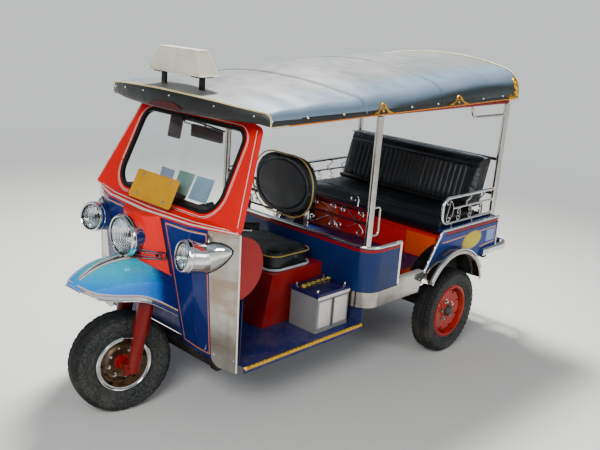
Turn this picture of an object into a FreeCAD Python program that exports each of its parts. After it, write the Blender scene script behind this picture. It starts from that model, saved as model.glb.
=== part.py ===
import FreeCAD, Part
import math
import os

# Three-wheeled auto rickshaw. +X is its left side, -Y its front, +Z up. Lengths in millimetres.
# The origin is under the middle of the overall length and width, on the ground.

# Overall
WIDTH = 1420
WHEELBASE = 1993
FRONT_OVERHANG = 267
REAR_OVERHANG = 710
LENGTH = FRONT_OVERHANG + WHEELBASE + REAR_OVERHANG
REAR_AXLE_Y = LENGTH / 2 - REAR_OVERHANG
FRONT_AXLE_Y = REAR_AXLE_Y - WHEELBASE

# Wheels
FRONT_TYRE_R = 260
FRONT_TYRE_W = 130
FRONT_RIM_R = 133
REAR_TYRE_R = 272
REAR_TYRE_W = 130
REAR_RIM_R = 160
FLARE_PAST_TYRE = 10
REAR_TYRE_OUTER_X = WIDTH / 2 - FLARE_PAST_TYRE
RIM_WALL = 5
RIM_FLANGE = 4
AXLE_R = 12
RUNNING_GAP = 0.05
SEAT_GAP = 0.3

# Steering
RAKE = 12
STEER_AT_REST = 13.4
STEERING_OFFSET = 22
FORK_HALF_WIDTH = 122
FORK_LOWER_R = 32
FORK_UPPER_R = 40
FORK_STEP_Z = 435
CROWN_Z = 640
CROWN_THICK = 40
STEERER_R = 22
STEERER_TOP_Z = 925
HEAD_TUBE_Z = (705, 880)
HEAD_TUBE_WALL = 10
BAR_R = 12
GRIP_R = 17
GRIP_LENGTH = 120

# Body shell
SKIN = 5
WALL_MIDDLE = SKIN / 2
FENDER_FLARE = 70
BODY_HALF_WIDTH = WIDTH / 2 - FENDER_FLARE
CAB_FLOOR_Z = 356
CAB_INSET = 56
CAB_HALF_WIDTH = BODY_HALF_WIDTH - CAB_INSET
FLOOR_THICK = 6
PASSENGER_FLOOR_Z = 560
BULKHEAD_Y = REAR_AXLE_Y - 835
BULKHEAD_TOP_Z = 806
CAPPING_R = 11
CAPPING_Z = BULKHEAD_TOP_Z + CAPPING_R
CORNER_R = 110
SKIRT_Z = (462, 553)
SILL_TOP_Z = 585
SILL_W = 46
DOORWAY_FRONT_Y = BULKHEAD_Y + 285
DOORWAY_REAR_Y = REAR_AXLE_Y - 277
ARCH_R = 318
ARCH_Z = 362
QUARTER_TOP_Z = 806
REAR_PANEL_Y = REAR_AXLE_Y + 552
BELTLINE_Z = 1050
NOSE_Z = (770, 1040)
SCREEN_RAKE = 25.6
SCREEN_FOOT_Y = FRONT_AXLE_Y + 218
SURROUND_THICK = 30
SHIELD_BOTTOM_Z = 370
STRIP_BOTTOM_Z = 335
STRIP_W = 143
SHIELD_CREASE_INSET = 248
SURROUND_HALF_WIDTHS = (CAB_HALF_WIDTH + 6, CAB_HALF_WIDTH - 118)
GLASS_HALF_WIDTHS = (CAB_HALF_WIDTH - 179, CAB_HALF_WIDTH - 186)

# Chassis
RAIL_INSET = 220
RAIL_X = BODY_HALF_WIDTH - RAIL_INSET
RAIL_W = 50
RAIL_H = 55
TUBE_R = 18
TOW_HOLE_SPACING = 200
TOW_HOLE_R = 5.5
TOE_BOARD_Y = FRONT_AXLE_Y + 318
RISER_Y = BULKHEAD_Y + 55
SHAFT_Z = 272
SNOUT_LENGTH = 240
ENGINE_Y = (REAR_AXLE_Y - 1160, REAR_AXLE_Y - 880)
ENGINE_Z = (245, 600)
ENGINE_HALF_WIDTH = 200

# Roof
ROOF_HALF_WIDTH = BODY_HALF_WIDTH
ROOF_THICK = 10
ROOF_BAND = 46
ROOF_LOW_Z = 1350
POST_INSET = 43
POST_X = BODY_HALF_WIDTH - POST_INSET
POST_R = 20
MID_POST_Y = (BULKHEAD_Y + CORNER_R
              - math.sqrt((CORNER_R - WALL_MIDDLE) ** 2 - (POST_X - BODY_HALF_WIDTH + CORNER_R) ** 2))
REAR_POST_Y = REAR_AXLE_Y + 520
ROOF_RAIL_R = 13
BOW_WIDTH = 24
BOW_THICK = 8
ROOF_RAIL_X = POST_X - 12
ROOF_RAIL_Y = (REAR_AXLE_Y - 1590, REAR_AXLE_Y + 545)
ROOF_RAIL_Z = (1546, 1572)

# Seats
BENCH_INSET = 56
BENCH_HALF_WIDTH = BODY_HALF_WIDTH - BENCH_INSET
BENCH_BOX_HALF_WIDTH = RAIL_X + 105
BENCH_BOX_Y = REAR_AXLE_Y - 10
BENCH_DECK_Z = 740
BENCH_TOP_Z = 872
BENCH_BACK_TOP_Z = 1215
BENCH_FRONT_Y = REAR_AXLE_Y - 55
BENCH_BACK_Y = REAR_AXLE_Y + 300
COVER_HALF_WIDTH = ENGINE_HALF_WIDTH + 100
COVER_TOP_Z = 655
DRIVER_SEAT_TOP_Z = 762
BACKREST_REAR_Y = BULKHEAD_Y - 8

# Battery beside the driver's seat
BATTERY_W = 200
BATTERY_LENGTH = 260
BATTERY_HEIGHT = 204
BATTERY_LID = 25
BATTERY_GAP = 30
BATTERY_BEHIND = 15


def vec(x, y, z):
    return FreeCAD.Vector(x, y, z)


def box(x0, x1, y0, y1, z0, z1):
    return Part.makeBox(x1 - x0, y1 - y0, z1 - z0, vec(x0, y0, z0))


def cylinder(radius, start, end):
    return Part.makeCylinder(radius, (end - start).Length, start, end - start)


def mirrored(shape):
    return shape.mirror(vec(0, 0, 0), vec(1, 0, 0))


def both_sides(shape):
    return Part.makeCompound([shape, mirrored(shape)])


def fuse(shapes):
    return shapes[0].fuse(shapes[1:]).removeSplitter()


def face(points):
    return Part.Face(Part.makePolygon(points + [points[0]]))


def side_profile(points, x0, x1):
    """Prism from (y, z) points between two x planes."""
    return face([vec(x0, y, z) for y, z in points]).extrude(vec(x1 - x0, 0, 0))


def plan_profile(points, z0, z1):
    """Prism from (x, y) points between two heights."""
    return face([vec(x, y, z0) for x, y in points]).extrude(vec(0, 0, z1 - z0))


def rounded_path(points, bend):
    """Wire of straight runs with tangent arcs of the bend radius at its corners."""
    edges = []
    start = points[0]
    for here, after in zip(points[1:-1], points[2:]):
        along = (here - start).normalize()
        onward = (after - here).normalize()
        half_turn = along.getAngle(onward) / 2
        cut = bend * math.tan(half_turn)
        first = here - along * cut
        last = here + onward * cut
        inward = (onward - along).normalize()
        centre = here + inward * (bend / math.cos(half_turn))
        middle = centre - inward * bend
        edges.append(Part.makeLine(start, first))
        edges.append(Part.Arc(first, middle, last).toShape())
        start = last
    edges.append(Part.makeLine(start, points[-1]))
    return Part.Wire(edges)


def sweep_round(path, radius):
    """Round bar along a wire."""
    edge = path.Edges[0]
    start = edge.valueAt(edge.FirstParameter)
    heading = edge.tangentAt(edge.FirstParameter)
    section = Part.Wire(Part.makeCircle(radius, start, heading))
    return path.makePipeShell([section], True, False)


def tube(points, radius, bend=40):
    return sweep_round(rounded_path(points, bend), radius)


def revolved(points, base, axis):
    """Solid turned about an axis: each point is (distance from the axis, position along it)."""
    turn = FreeCAD.Rotation(vec(1, 0, 0), axis)
    flat = face([vec(along, radius, 0) for radius, along in points])
    solid = flat.revolve(vec(0, 0, 0), vec(1, 0, 0), 360)
    solid.Placement = FreeCAD.Placement(base, turn)
    return solid


def arch_wire(y, half_width, shoulder_z, shoulder_r, crown_z, low_z):
    """Closed section across the vehicle: upright sides, round shoulders and a tangent crown arc."""
    inward = half_width - shoulder_r
    rise = crown_z - shoulder_z
    crown_r = (inward ** 2 + rise ** 2 - shoulder_r ** 2) / (2 * (rise - shoulder_r))
    tangent = math.atan2(crown_r - rise, inward)

    def shoulder(side, angle):
        out = shoulder_r * math.cos(angle)
        return vec(side * (inward + out), y, shoulder_z + shoulder_r * math.sin(angle))

    left = [shoulder(-1, angle) for angle in (0, tangent / 2, tangent)]
    right = [shoulder(1, angle) for angle in (tangent, tangent / 2, 0)]
    foot_left = vec(-half_width, y, low_z)
    foot_right = vec(half_width, y, low_z)
    return Part.Wire([Part.makeLine(foot_left, left[0]), Part.Arc(*left).toShape(),
                      Part.Arc(left[2], vec(0, y, crown_z), right[0]).toShape(), Part.Arc(*right).toShape(),
                      Part.makeLine(right[2], foot_right), Part.makeLine(foot_right, foot_left)])


def arch_loft(rows):
    return Part.makeLoft([arch_wire(*row) for row in rows], True, False)


# Steering geometry

RAKE_RAD = math.radians(RAKE)
STEERING_DIRECTION = vec(0, math.sin(RAKE_RAD), math.cos(RAKE_RAD))
STEERING_FOOT = vec(0, FRONT_AXLE_Y + STEERING_OFFSET, FRONT_TYRE_R)
FRONT_HUB = vec(0, FRONT_AXLE_Y, FRONT_TYRE_R)


def on_steering_axis(z):
    return STEERING_FOOT + STEERING_DIRECTION * ((z - FRONT_TYRE_R) / math.cos(RAKE_RAD))


def tyre_profile(radius, width, rim_radius):
    """Corners round a tyre's section, as (radius, offset from its middle plane)."""
    bead = rim_radius + SEAT_GAP
    half = [(bead, 0.36), (bead + 14, 0.36), (bead + 24, 0.455), (0.76 * radius, 0.5),
            (radius - 24, 0.475), (radius - 6, 0.38), (radius, 0.2)]
    near = [(r, -share * width) for r, share in half]
    far = [(r, share * width) for r, share in reversed(half)]
    return near + far


def steered(shape):
    """Turns a piece drawn straight ahead to the parked steering angle, standing on the ground."""
    angle = math.radians(STEER_AT_REST)
    lean = math.sin(angle) * math.sin(RAKE_RAD)
    turned = shape.copy()
    turned.rotate(STEERING_FOOT, STEERING_DIRECTION, -STEER_AT_REST)
    turn = FreeCAD.Rotation(STEERING_DIRECTION, -STEER_AT_REST)
    hub = turn.multVec(FRONT_HUB - STEERING_FOOT) + STEERING_FOOT
    corners = tyre_profile(FRONT_TYRE_R, FRONT_TYRE_W, FRONT_RIM_R)
    lowest = min(hub.z - r * math.sqrt(1 - lean * lean) - abs(w * lean) for r, w in corners)
    turned.translate(STEERING_DIRECTION * (-lowest / math.cos(RAKE_RAD)))
    return turned


# Wheels

def tyre(radius, width, rim_radius, hub):
    return revolved(tyre_profile(radius, width, rim_radius), hub, vec(1, 0, 0))


def steel_wheel(rim_radius, width, hub, outward, drum_radius, bore_radius, hole_count):
    """Pressed rim with a dished disc, a hub drum and its axle bore. outward is the disc's side, 1 or -1."""
    half = 0.36 * width + SEAT_GAP
    lip = rim_radius + 12
    inner = rim_radius - RIM_WALL
    flange = half + RIM_FLANGE
    axis = vec(outward, 0, 0)
    barrel = revolved([(rim_radius, -half), (lip, -half), (lip, -flange), (inner, -flange), (inner, flange),
                       (lip, flange), (lip, half), (rim_radius, half)], hub, axis)
    disc = revolved([(bore_radius, 14), (0.5 * rim_radius, 22), (inner - 26, 30), (inner - 10, 10),
                     (inner + 1, 4), (inner + 1, -2), (inner - 13, 4), (inner - 28, 22),
                     (0.5 * rim_radius, 15), (bore_radius, 7)], hub, axis)
    drum = revolved([(bore_radius, -48), (0.6 * drum_radius, -48), (drum_radius, -34), (drum_radius, 10),
                     (0.5 * drum_radius, 24), (0.35 * drum_radius, 44), (bore_radius, 44)],
                    hub, axis)
    wheel = fuse([barrel, disc, drum])
    for number in range(hole_count):
        angle = math.radians(360 / hole_count * (number + 0.5))
        radius = inner - 34
        centre = hub + vec(0, radius * math.cos(angle), radius * math.sin(angle))
        wheel = wheel.cut(cylinder(9, centre + vec(outward * 12, 0, 0), centre + vec(outward * 60, 0, 0)))
    return wheel


def front_wheel_pieces():
    bore = AXLE_R + RUNNING_GAP
    return {
        "front_tyre": steered(tyre(FRONT_TYRE_R, FRONT_TYRE_W, FRONT_RIM_R, FRONT_HUB)),
        "front_rim": steered(steel_wheel(FRONT_RIM_R, FRONT_TYRE_W, FRONT_HUB, 1, 62, bore, 0)),
    }


def rear_wheel_pieces():
    bore = AXLE_R + RUNNING_GAP
    centre_x = REAR_TYRE_OUTER_X - REAR_TYRE_W / 2
    pieces = {}
    for name, side in (("left", 1), ("right", -1)):
        hub = vec(side * centre_x, REAR_AXLE_Y, REAR_TYRE_R)
        pieces["rear_tyre_" + name] = tyre(REAR_TYRE_R, REAR_TYRE_W, REAR_RIM_R, hub)
        pieces["rear_rim_" + name] = steel_wheel(REAR_RIM_R, REAR_TYRE_W, hub, side, 78, bore, 8)
    return pieces


# Fork and handlebar

def front_fork():
    down = -STEERING_DIRECTION
    legs = []
    for side in (1, -1):
        offset = vec(side * FORK_HALF_WIDTH, 0, 0)
        foot = on_steering_axis(FRONT_TYRE_R) + offset + down * 18
        step = on_steering_axis(FORK_STEP_Z) + offset
        top = on_steering_axis(CROWN_Z + CROWN_THICK) + offset
        legs.append(cylinder(FORK_LOWER_R, foot, step))
        legs.append(cylinder(FORK_UPPER_R, step, top))
        lug_x = side * FORK_HALF_WIDTH
        legs.append(box(lug_x - 11, lug_x + 11, FRONT_AXLE_Y - 26, FRONT_AXLE_Y + STEERING_OFFSET,
                        FRONT_TYRE_R - 30, FRONT_TYRE_R + 30))
    crown = Part.makeBox(2 * (FORK_HALF_WIDTH + 36), 64, CROWN_THICK,
                         vec(-FORK_HALF_WIDTH - 36, -32, 0))
    crown.Placement = FreeCAD.Placement(on_steering_axis(CROWN_Z), FreeCAD.Rotation(vec(1, 0, 0), -RAKE))
    stem = cylinder(STEERER_R, on_steering_axis(CROWN_Z + 10), on_steering_axis(STEERER_TOP_Z))
    reach = vec(FORK_HALF_WIDTH + 22, 0, 0)
    axle = cylinder(AXLE_R, FRONT_HUB - reach, FRONT_HUB + reach)
    return steered(fuse(legs + [crown, stem, axle]))


def handlebar_route(side):
    """Bar from the clamp back to one grip, steering straight ahead."""
    middle = on_steering_axis(STEERER_TOP_Z + BAR_R)
    end = vec(side * 262, middle.y + 478, 962)
    return [middle, vec(side * 95, middle.y + 8, middle.z + 8), vec(side * 190, middle.y + 320, 968), end]


def handlebar():
    pieces = []
    for side in (1, -1):
        route = handlebar_route(side)
        pieces.append(tube(route, BAR_R, 50))
        inward = (route[-2] - route[-1]).normalize()
        pieces.append(cylinder(GRIP_R, route[-1] + inward * GRIP_LENGTH, route[-1]))
    top = on_steering_axis(STEERER_TOP_Z)
    clamp = cylinder(30, top, top + STEERING_DIRECTION * 2 * (BAR_R + 3))
    return steered(fuse(pieces + [clamp]))


# Chassis

def chassis_frame():
    front_y = TOE_BOARD_Y - 55
    rear_y = REAR_PANEL_Y + 60
    low_top = CAB_FLOOR_Z - FLOOR_THICK
    high_top = PASSENGER_FLOOR_Z - FLOOR_THICK
    ramp_start = RISER_Y - 25
    ramp_end = RISER_Y + 185
    outline = [(front_y, low_top), (ramp_start, low_top), (ramp_end, high_top), (rear_y, high_top),
               (rear_y, high_top - RAIL_H), (ramp_end + 12, high_top - RAIL_H),
               (ramp_start + 12, low_top - RAIL_H), (front_y, low_top - RAIL_H)]
    pieces = []
    for side in (1, -1):
        centre = side * RAIL_X
        pieces.append(side_profile(outline, centre - RAIL_W / 2, centre + RAIL_W / 2))
    inner = RAIL_X - RAIL_W / 2
    # Cross-members: y centre, top height
    mount_y = ENGINE_Y[1] + SEAT_GAP + 25
    for y, top in ((front_y + 25, low_top), (REAR_AXLE_Y - 1290, low_top), (mount_y, low_top),
                   (BULKHEAD_Y + 270, high_top), (REAR_AXLE_Y - 330, high_top),
                   (REAR_AXLE_Y + 330, high_top), (rear_y - 25, high_top)):
        pieces.append(box(-inner - 1, inner + 1, y - 25, y + 25, top - RAIL_H + 10, top))
    # Outriggers carry the floor edges and the skirts
    for y, top, reach in ((REAR_AXLE_Y - 1600, low_top, CAB_HALF_WIDTH - 30),
                          (REAR_AXLE_Y - 1100, low_top, CAB_HALF_WIDTH - 30),
                          (BULKHEAD_Y + 270, high_top, BODY_HALF_WIDTH - 30),
                          (REAR_AXLE_Y - 380, high_top, BODY_HALF_WIDTH - 30),
                          (REAR_PANEL_Y - 60, high_top, BODY_HALF_WIDTH - 30)):
        for side in (1, -1):
            x0, x1 = sorted((side * RAIL_X, side * reach))
            pieces.append(box(x0, x1, y - 20, y + 20, top - 34, top))
    # Arms from the front cross-member to the engine
    for side in (1, -1):
        x = side * (ENGINE_HALF_WIDTH - 50)
        pieces.append(box(x - 20, x + 20, REAR_AXLE_Y - 1290, ENGINE_Y[0] - SEAT_GAP, low_top - 35, low_top))
    # Tubes from the rails up to the steering head
    head_radius = STEERER_R + RUNNING_GAP + HEAD_TUBE_WALL
    anchor = on_steering_axis(HEAD_TUBE_Z[1] - 45)
    for side in (1, -1):
        foot = vec(side * (RAIL_X - 10), front_y + 28, low_top - 10)
        knee = vec(side * 255, front_y + 28, 610)
        end = anchor + vec(side * (head_radius - 8), 6, 0)
        pieces.append(tube([foot, knee, end], TUBE_R, 70))
    head = cylinder(head_radius, on_steering_axis(HEAD_TUBE_Z[0]), on_steering_axis(HEAD_TUBE_Z[1]))
    pieces.append(head)
    frame = fuse(pieces)
    holes = [cylinder(STEERER_R + RUNNING_GAP, on_steering_axis(HEAD_TUBE_Z[0] - 20),
                      on_steering_axis(HEAD_TUBE_Z[1] + 20))]
    # Tow bracket holes through the rear cross-member
    for side in (1, -1):
        x = side * TOW_HOLE_SPACING / 2
        z = high_top - 23
        holes.append(cylinder(TOW_HOLE_R, vec(x, rear_y - 60, z), vec(x, rear_y + 10, z)))
    return frame.cut(holes)


def rear_axle():
    centre_x = REAR_TYRE_OUTER_X - REAR_TYRE_W / 2
    tube_end = centre_x - 54
    spindle_end = centre_x + 43
    half = [(36, tube_end), (AXLE_R, tube_end), (AXLE_R, spindle_end), (0, spindle_end)]
    bowl = [(108, 30), (90, 70), (55, 105), (36, 150)]
    profile = bowl + half + [(r, -along) for r, along in reversed(bowl + half)]
    casing = revolved(profile, vec(0, REAR_AXLE_Y, REAR_TYRE_R), vec(1, 0, 0))
    snout = Part.makeCone(60, 38, SNOUT_LENGTH - 80, vec(0, REAR_AXLE_Y - 80, REAR_TYRE_R), vec(0, -1, 0))
    shaft_ends = (ENGINE_Y[1] + SEAT_GAP, REAR_AXLE_Y - SNOUT_LENGTH + 4)
    shaft = cylinder(24, vec(0, shaft_ends[0], SHAFT_Z), vec(0, shaft_ends[1], SHAFT_Z))
    return fuse([casing, snout, shaft])


def engine():
    return box(-ENGINE_HALF_WIDTH, ENGINE_HALF_WIDTH, ENGINE_Y[0], ENGINE_Y[1], ENGINE_Z[0], ENGINE_Z[1])


def exhaust():
    x = -270
    z = 400
    silencer_y = (REAR_AXLE_Y - 620, REAR_AXLE_Y - 280)
    can = cylinder(56, vec(x, silencer_y[0], z), vec(x, silencer_y[1], z))
    port = -ENGINE_HALF_WIDTH + 60
    inlet = tube([vec(port, ENGINE_Y[1] + SEAT_GAP, SHAFT_Z), vec(port, ENGINE_Y[1] + 90, SHAFT_Z),
                  vec(x, silencer_y[0] - 60, z), vec(x, silencer_y[0] + 5, z)], 18, 40)
    tail = cylinder(18, vec(x, silencer_y[1] - 5, z), vec(x, REAR_PANEL_Y + 30, z))
    return fuse([can, inlet, tail])


def leaf_springs():
    """One leaf pack each side, bowed down to the axle casing, with eyes and hangers under the rail."""
    rail_under = PASSENGER_FLOOR_Z - FLOOR_THICK - RAIL_H
    eye_z = rail_under - 62
    half_span = 330
    seat_z = REAR_TYRE_R + 36
    springs = []
    for side in (1, -1):
        x = side * RAIL_X
        pieces = []
        for leaf, reach in enumerate((half_span, 250, 165)):
            top_mid = seat_z + 24 - leaf * 8
            rise = (eye_z - (seat_z + 16)) * (reach / half_span) ** 2
            z = top_mid - 8 + rise
            ends = [vec(x, REAR_AXLE_Y - reach, z), vec(x, REAR_AXLE_Y + reach, z)]
            lower = Part.Arc(ends[0], vec(x, REAR_AXLE_Y, top_mid - 8), ends[1]).toShape()
            lifted = [p + vec(0, 0, 8) for p in ends]
            upper = Part.Arc(lifted[1], vec(x, REAR_AXLE_Y, top_mid), lifted[0]).toShape()
            sheet = Part.Face(Part.Wire([lower, Part.makeLine(ends[1], lifted[1]), upper,
                                         Part.makeLine(lifted[0], ends[0])]))
            strip = sheet.extrude(vec(44, 0, 0))
            strip.translate(vec(-22, 0, 0))
            pieces.append(strip)
        for end in (-1, 1):
            y = REAR_AXLE_Y + end * (half_span + 6)
            pieces.append(cylinder(16, vec(x - 22, y, eye_z), vec(x + 22, y, eye_z)))
            pieces.append(box(x - 26, x + 26, y - 22, y + 22, eye_z - 8, rail_under))
        springs.append(fuse(pieces))
    return Part.makeCompound(springs)


# Cab floor and body panels

def cab_floor():
    front_y = TOE_BOARD_Y
    rear_y = RISER_Y
    plate = box(-CAB_HALF_WIDTH, CAB_HALF_WIDTH, front_y, rear_y, CAB_FLOOR_Z - FLOOR_THICK, CAB_FLOOR_Z)
    gap = 14
    hatch = box(-ENGINE_HALF_WIDTH - gap, ENGINE_HALF_WIDTH + gap, ENGINE_Y[0] - gap, ENGINE_Y[1] + gap,
                CAB_FLOOR_Z - 50, CAB_FLOOR_Z + 50)
    edges = [plate]
    for side in (1, -1):
        x0, x1 = sorted((side * CAB_HALF_WIDTH, side * (CAB_HALF_WIDTH - 5)))
        edges.append(box(x0, x1, front_y, rear_y, CAB_FLOOR_Z - 38, CAB_FLOOR_Z))
    toe = box(-CAB_HALF_WIDTH + 40, CAB_HALF_WIDTH - 40, front_y, front_y + 4, CAB_FLOOR_Z - 1, 760)
    riser = box(-CAB_HALF_WIDTH, CAB_HALF_WIDTH, rear_y - 4, rear_y, CAB_FLOOR_Z - 1, SKIRT_Z[1])
    floor = fuse(edges + [toe, riser]).cut(hatch)
    rails = []
    for side in (1, -1):
        centre = side * RAIL_X
        rails.append(box(centre - RAIL_W / 2 - 1, centre + RAIL_W / 2 + 1, rear_y - 27, rear_y + 20,
                         CAB_FLOOR_Z - FLOOR_THICK - 1, CAB_FLOOR_Z + 45))
    return floor.cut(rails)


def passenger_floor():
    """Footwell panel between the sills, and the panel behind it that carries the bench box."""
    front_y = BULKHEAD_Y + SKIN + 1
    narrow = BENCH_BOX_HALF_WIDTH
    wide = BODY_HALF_WIDTH - SKIN - 1
    between_sills = BODY_HALF_WIDTH - SILL_W - SEAT_GAP
    step_y = REAR_AXLE_Y - 10 - ARCH_R - 16
    split_y = BENCH_BOX_Y - SEAT_GAP
    rear_y = REAR_PANEL_Y - 1
    half = [(wide - CORNER_R, front_y), (wide, front_y + CORNER_R), (wide, DOORWAY_FRONT_Y),
            (between_sills, DOORWAY_FRONT_Y), (between_sills, step_y), (narrow, step_y), (narrow, split_y)]
    footwell = half + [(-x, y) for x, y in reversed(half)]
    front = split_y + SEAT_GAP
    behind = [(-narrow, front), (narrow, front), (narrow, rear_y), (-narrow, rear_y)]
    bottom_z = PASSENGER_FLOOR_Z - FLOOR_THICK
    panels = [plan_profile(outline, bottom_z, PASSENGER_FLOOR_Z) for outline in (footwell, behind)]
    return Part.makeCompound(panels)


def tub_wire(inset, z, rear_y):
    """Plan of the front wall with its round corners and the side returns, as an open wire."""
    half = BODY_HALF_WIDTH - inset
    front = BULKHEAD_Y + inset
    radius = CORNER_R - inset
    diagonal = radius * (1 - math.sqrt(0.5))
    edges = [Part.makeLine(vec(-half, rear_y, z), vec(-half, front + radius, z)),
             Part.Arc(vec(-half, front + radius, z), vec(-half + diagonal, front + diagonal, z),
                      vec(-half + radius, front, z)).toShape(),
             Part.makeLine(vec(-half + radius, front, z), vec(half - radius, front, z)),
             Part.Arc(vec(half - radius, front, z), vec(half - diagonal, front + diagonal, z),
                      vec(half, front + radius, z)).toShape(),
             Part.makeLine(vec(half, front + radius, z), vec(half, rear_y, z))]
    return edges


def tub_band(outer_inset, inner_inset, rear_y, z0, z1):
    """Wall of the tub's plan between two insets and two heights."""
    outer = tub_wire(outer_inset, z0, rear_y)
    inner = tub_wire(inner_inset, z0, rear_y)
    outer_half = BODY_HALF_WIDTH - outer_inset
    inner_half = BODY_HALF_WIDTH - inner_inset
    joins = [Part.makeLine(vec(-outer_half, rear_y, z0), vec(-inner_half, rear_y, z0)),
             Part.makeLine(vec(outer_half, rear_y, z0), vec(inner_half, rear_y, z0))]
    wire = Part.Wire(Part.__sortEdges__(outer + inner + joins))
    return Part.Face(wire).extrude(vec(0, 0, z1 - z0))


def front_bulkhead():
    return tub_band(0, SKIN, DOORWAY_FRONT_Y, SKIRT_Z[1] + 2, BULKHEAD_TOP_Z)


def bulkhead_rail():
    """Chrome capping along the tub's front wall and round its corners."""
    path = Part.Wire(tub_wire(WALL_MIDDLE, CAPPING_Z, DOORWAY_FRONT_Y))
    return sweep_round(path, CAPPING_R)


def sill_skirts():
    rear_y = REAR_AXLE_Y - 265
    band = tub_band(-2, 3, rear_y, *SKIRT_Z)
    gap = RAIL_X + RAIL_W / 2 + 20
    middle = box(-gap, gap, BULKHEAD_Y - 20, BULKHEAD_Y + 20, SKIRT_Z[0] - 5, SKIRT_Z[1] + 5)
    sills = []
    for side in (1, -1):
        x0, x1 = sorted((side * (BODY_HALF_WIDTH + 2), side * (BODY_HALF_WIDTH - SILL_W)))
        sills.append(box(x0, x1, DOORWAY_FRONT_Y + 1, DOORWAY_REAR_Y - 1, PASSENGER_FLOOR_Z + SEAT_GAP,
                         SILL_TOP_Z))
        x2, x3 = sorted((side * (BODY_HALF_WIDTH + 2), side * (BODY_HALF_WIDTH - 4)))
        sills.append(box(x2, x3, DOORWAY_FRONT_Y + 1, DOORWAY_REAR_Y - 1, SKIRT_Z[1] - 1, SILL_TOP_Z))
    skirt = band.cut(middle).fuse(sills).removeSplitter()
    reach = BODY_HALF_WIDTH + 50
    return skirt.cut(arch_cutter(-reach, reach, ARCH_R + 16))


def arch_cutter(x0, x1, radius):
    return cylinder(radius, vec(x0, REAR_AXLE_Y - 10, ARCH_Z), vec(x1, REAR_AXLE_Y - 10, ARCH_Z))


def quarter_panels():
    a = REAR_AXLE_Y
    outline = [(a - 132, QUARTER_TOP_Z), (DOORWAY_REAR_Y, SILL_TOP_Z), (DOORWAY_REAR_Y, SKIRT_Z[1] + 2),
               (a + 230, SKIRT_Z[1] + 2), (REAR_PANEL_Y + SKIN, 600), (REAR_PANEL_Y + SKIN, QUARTER_TOP_Z)]
    skin = side_profile(outline, BODY_HALF_WIDTH - SKIN, BODY_HALF_WIDTH)
    skin = skin.cut(arch_cutter(0, BODY_HALF_WIDTH + 50, ARCH_R))
    flange = box(BODY_HALF_WIDTH - 48, BODY_HALF_WIDTH, a - 120, REAR_PANEL_Y + SKIN,
                 QUARTER_TOP_Z - SKIN, QUARTER_TOP_Z)
    return both_sides(fuse([skin, flange]))


def rear_panel():
    half = BODY_HALF_WIDTH - SKIN - SEAT_GAP
    return box(-half, half, REAR_PANEL_Y, REAR_PANEL_Y + SKIN, PASSENGER_FLOOR_Z - FLOOR_THICK + SEAT_GAP,
               QUARTER_TOP_Z - SKIN - SEAT_GAP)


def rear_fenders():
    """Bright arches flared out over the wheels, open below."""
    outer_r = ARCH_R + 6
    y0 = REAR_AXLE_Y - 10
    flare = WIDTH / 2
    seat = BODY_HALF_WIDTH + SEAT_GAP
    inner = BODY_HALF_WIDTH + 6
    profile = [(ARCH_R - 4, seat), (outer_r + 8, seat), (outer_r + 4, flare - 14), (outer_r - 8, flare),
               (outer_r - 26, flare), (outer_r - 26, flare - 3), (outer_r - 10, flare - 3),
               (outer_r, flare - 16), (ARCH_R + 2, inner), (ARCH_R - 4, inner)]
    ring = revolved(profile, vec(0, y0, ARCH_Z), vec(1, 0, 0))
    far = 2 * outer_r
    above = [(y0 - far, ARCH_Z + far), (y0 - far, 520), (y0 - 280, 520), (y0, ARCH_Z), (y0 + 300, 440),
             (y0 + far, 440), (y0 + far, ARCH_Z + far)]
    keep = side_profile(above, BODY_HALF_WIDTH - 10, flare + 10)
    return both_sides(ring.common(keep))


def wheel_housings():
    """Arched inner panel over each rear wheel, closed on its inboard side."""
    inner_x = RAIL_X + 110
    y0 = REAR_AXLE_Y - 10
    shell = cylinder(ARCH_R + 4, vec(inner_x, y0, ARCH_Z), vec(BODY_HALF_WIDTH - SKIN - SEAT_GAP, y0, ARCH_Z))
    hollow = cylinder(ARCH_R, vec(inner_x + 4, y0, ARCH_Z), vec(BODY_HALF_WIDTH, y0, ARCH_Z))
    shell = shell.cut(hollow)
    far = 2 * ARCH_R
    above = box(inner_x - 5, BODY_HALF_WIDTH + 5, y0 - far, y0 + far, PASSENGER_FLOOR_Z - 120, ARCH_Z + far)
    return both_sides(shell.common(above))


def rear_bumper():
    y = LENGTH / 2 - 12
    front_y = REAR_AXLE_Y + 362
    z = 592
    half = BODY_HALF_WIDTH + 14
    points = [vec(-half, front_y, z), vec(-half, y, z), vec(half, y, z), vec(half, front_y, z)]
    path = rounded_path(points, 70)
    profile = Part.makePolygon([vec(half, front_y, z) + vec(dx, 0, dz) for dx, dz in
                                ((-12, -26), (6, -26), (12, -14), (12, 14), (6, 26), (-12, 26), (-12, -26))])
    profile = profile.mirror(vec(0, 0, 0), vec(1, 0, 0))
    bar = path.makePipeShell([profile], True, False)
    rear_y = REAR_PANEL_Y + 60
    brackets = []
    for x in (RAIL_X, -RAIL_X):
        brackets.append(box(x - 20, x + 20, rear_y + SEAT_GAP, y - 4, 572, 586))
        brackets.append(box(x - 20, x + 20, rear_y + SEAT_GAP, rear_y + 8, 520, 586))
    return fuse([bar] + brackets)


def tail_lamps():
    lamps = []
    for side in (1, -1):
        x = side * (BODY_HALF_WIDTH - 140)
        y = REAR_PANEL_Y + SKIN
        lamps.append(fuse([box(x - 70, x + 70, y, y + 12, 655, 735),
                           box(x - 62, x + 62, y + 12, y + 34, 663, 727)]))
    return Part.makeCompound(lamps)


# Front of the cab

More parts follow.
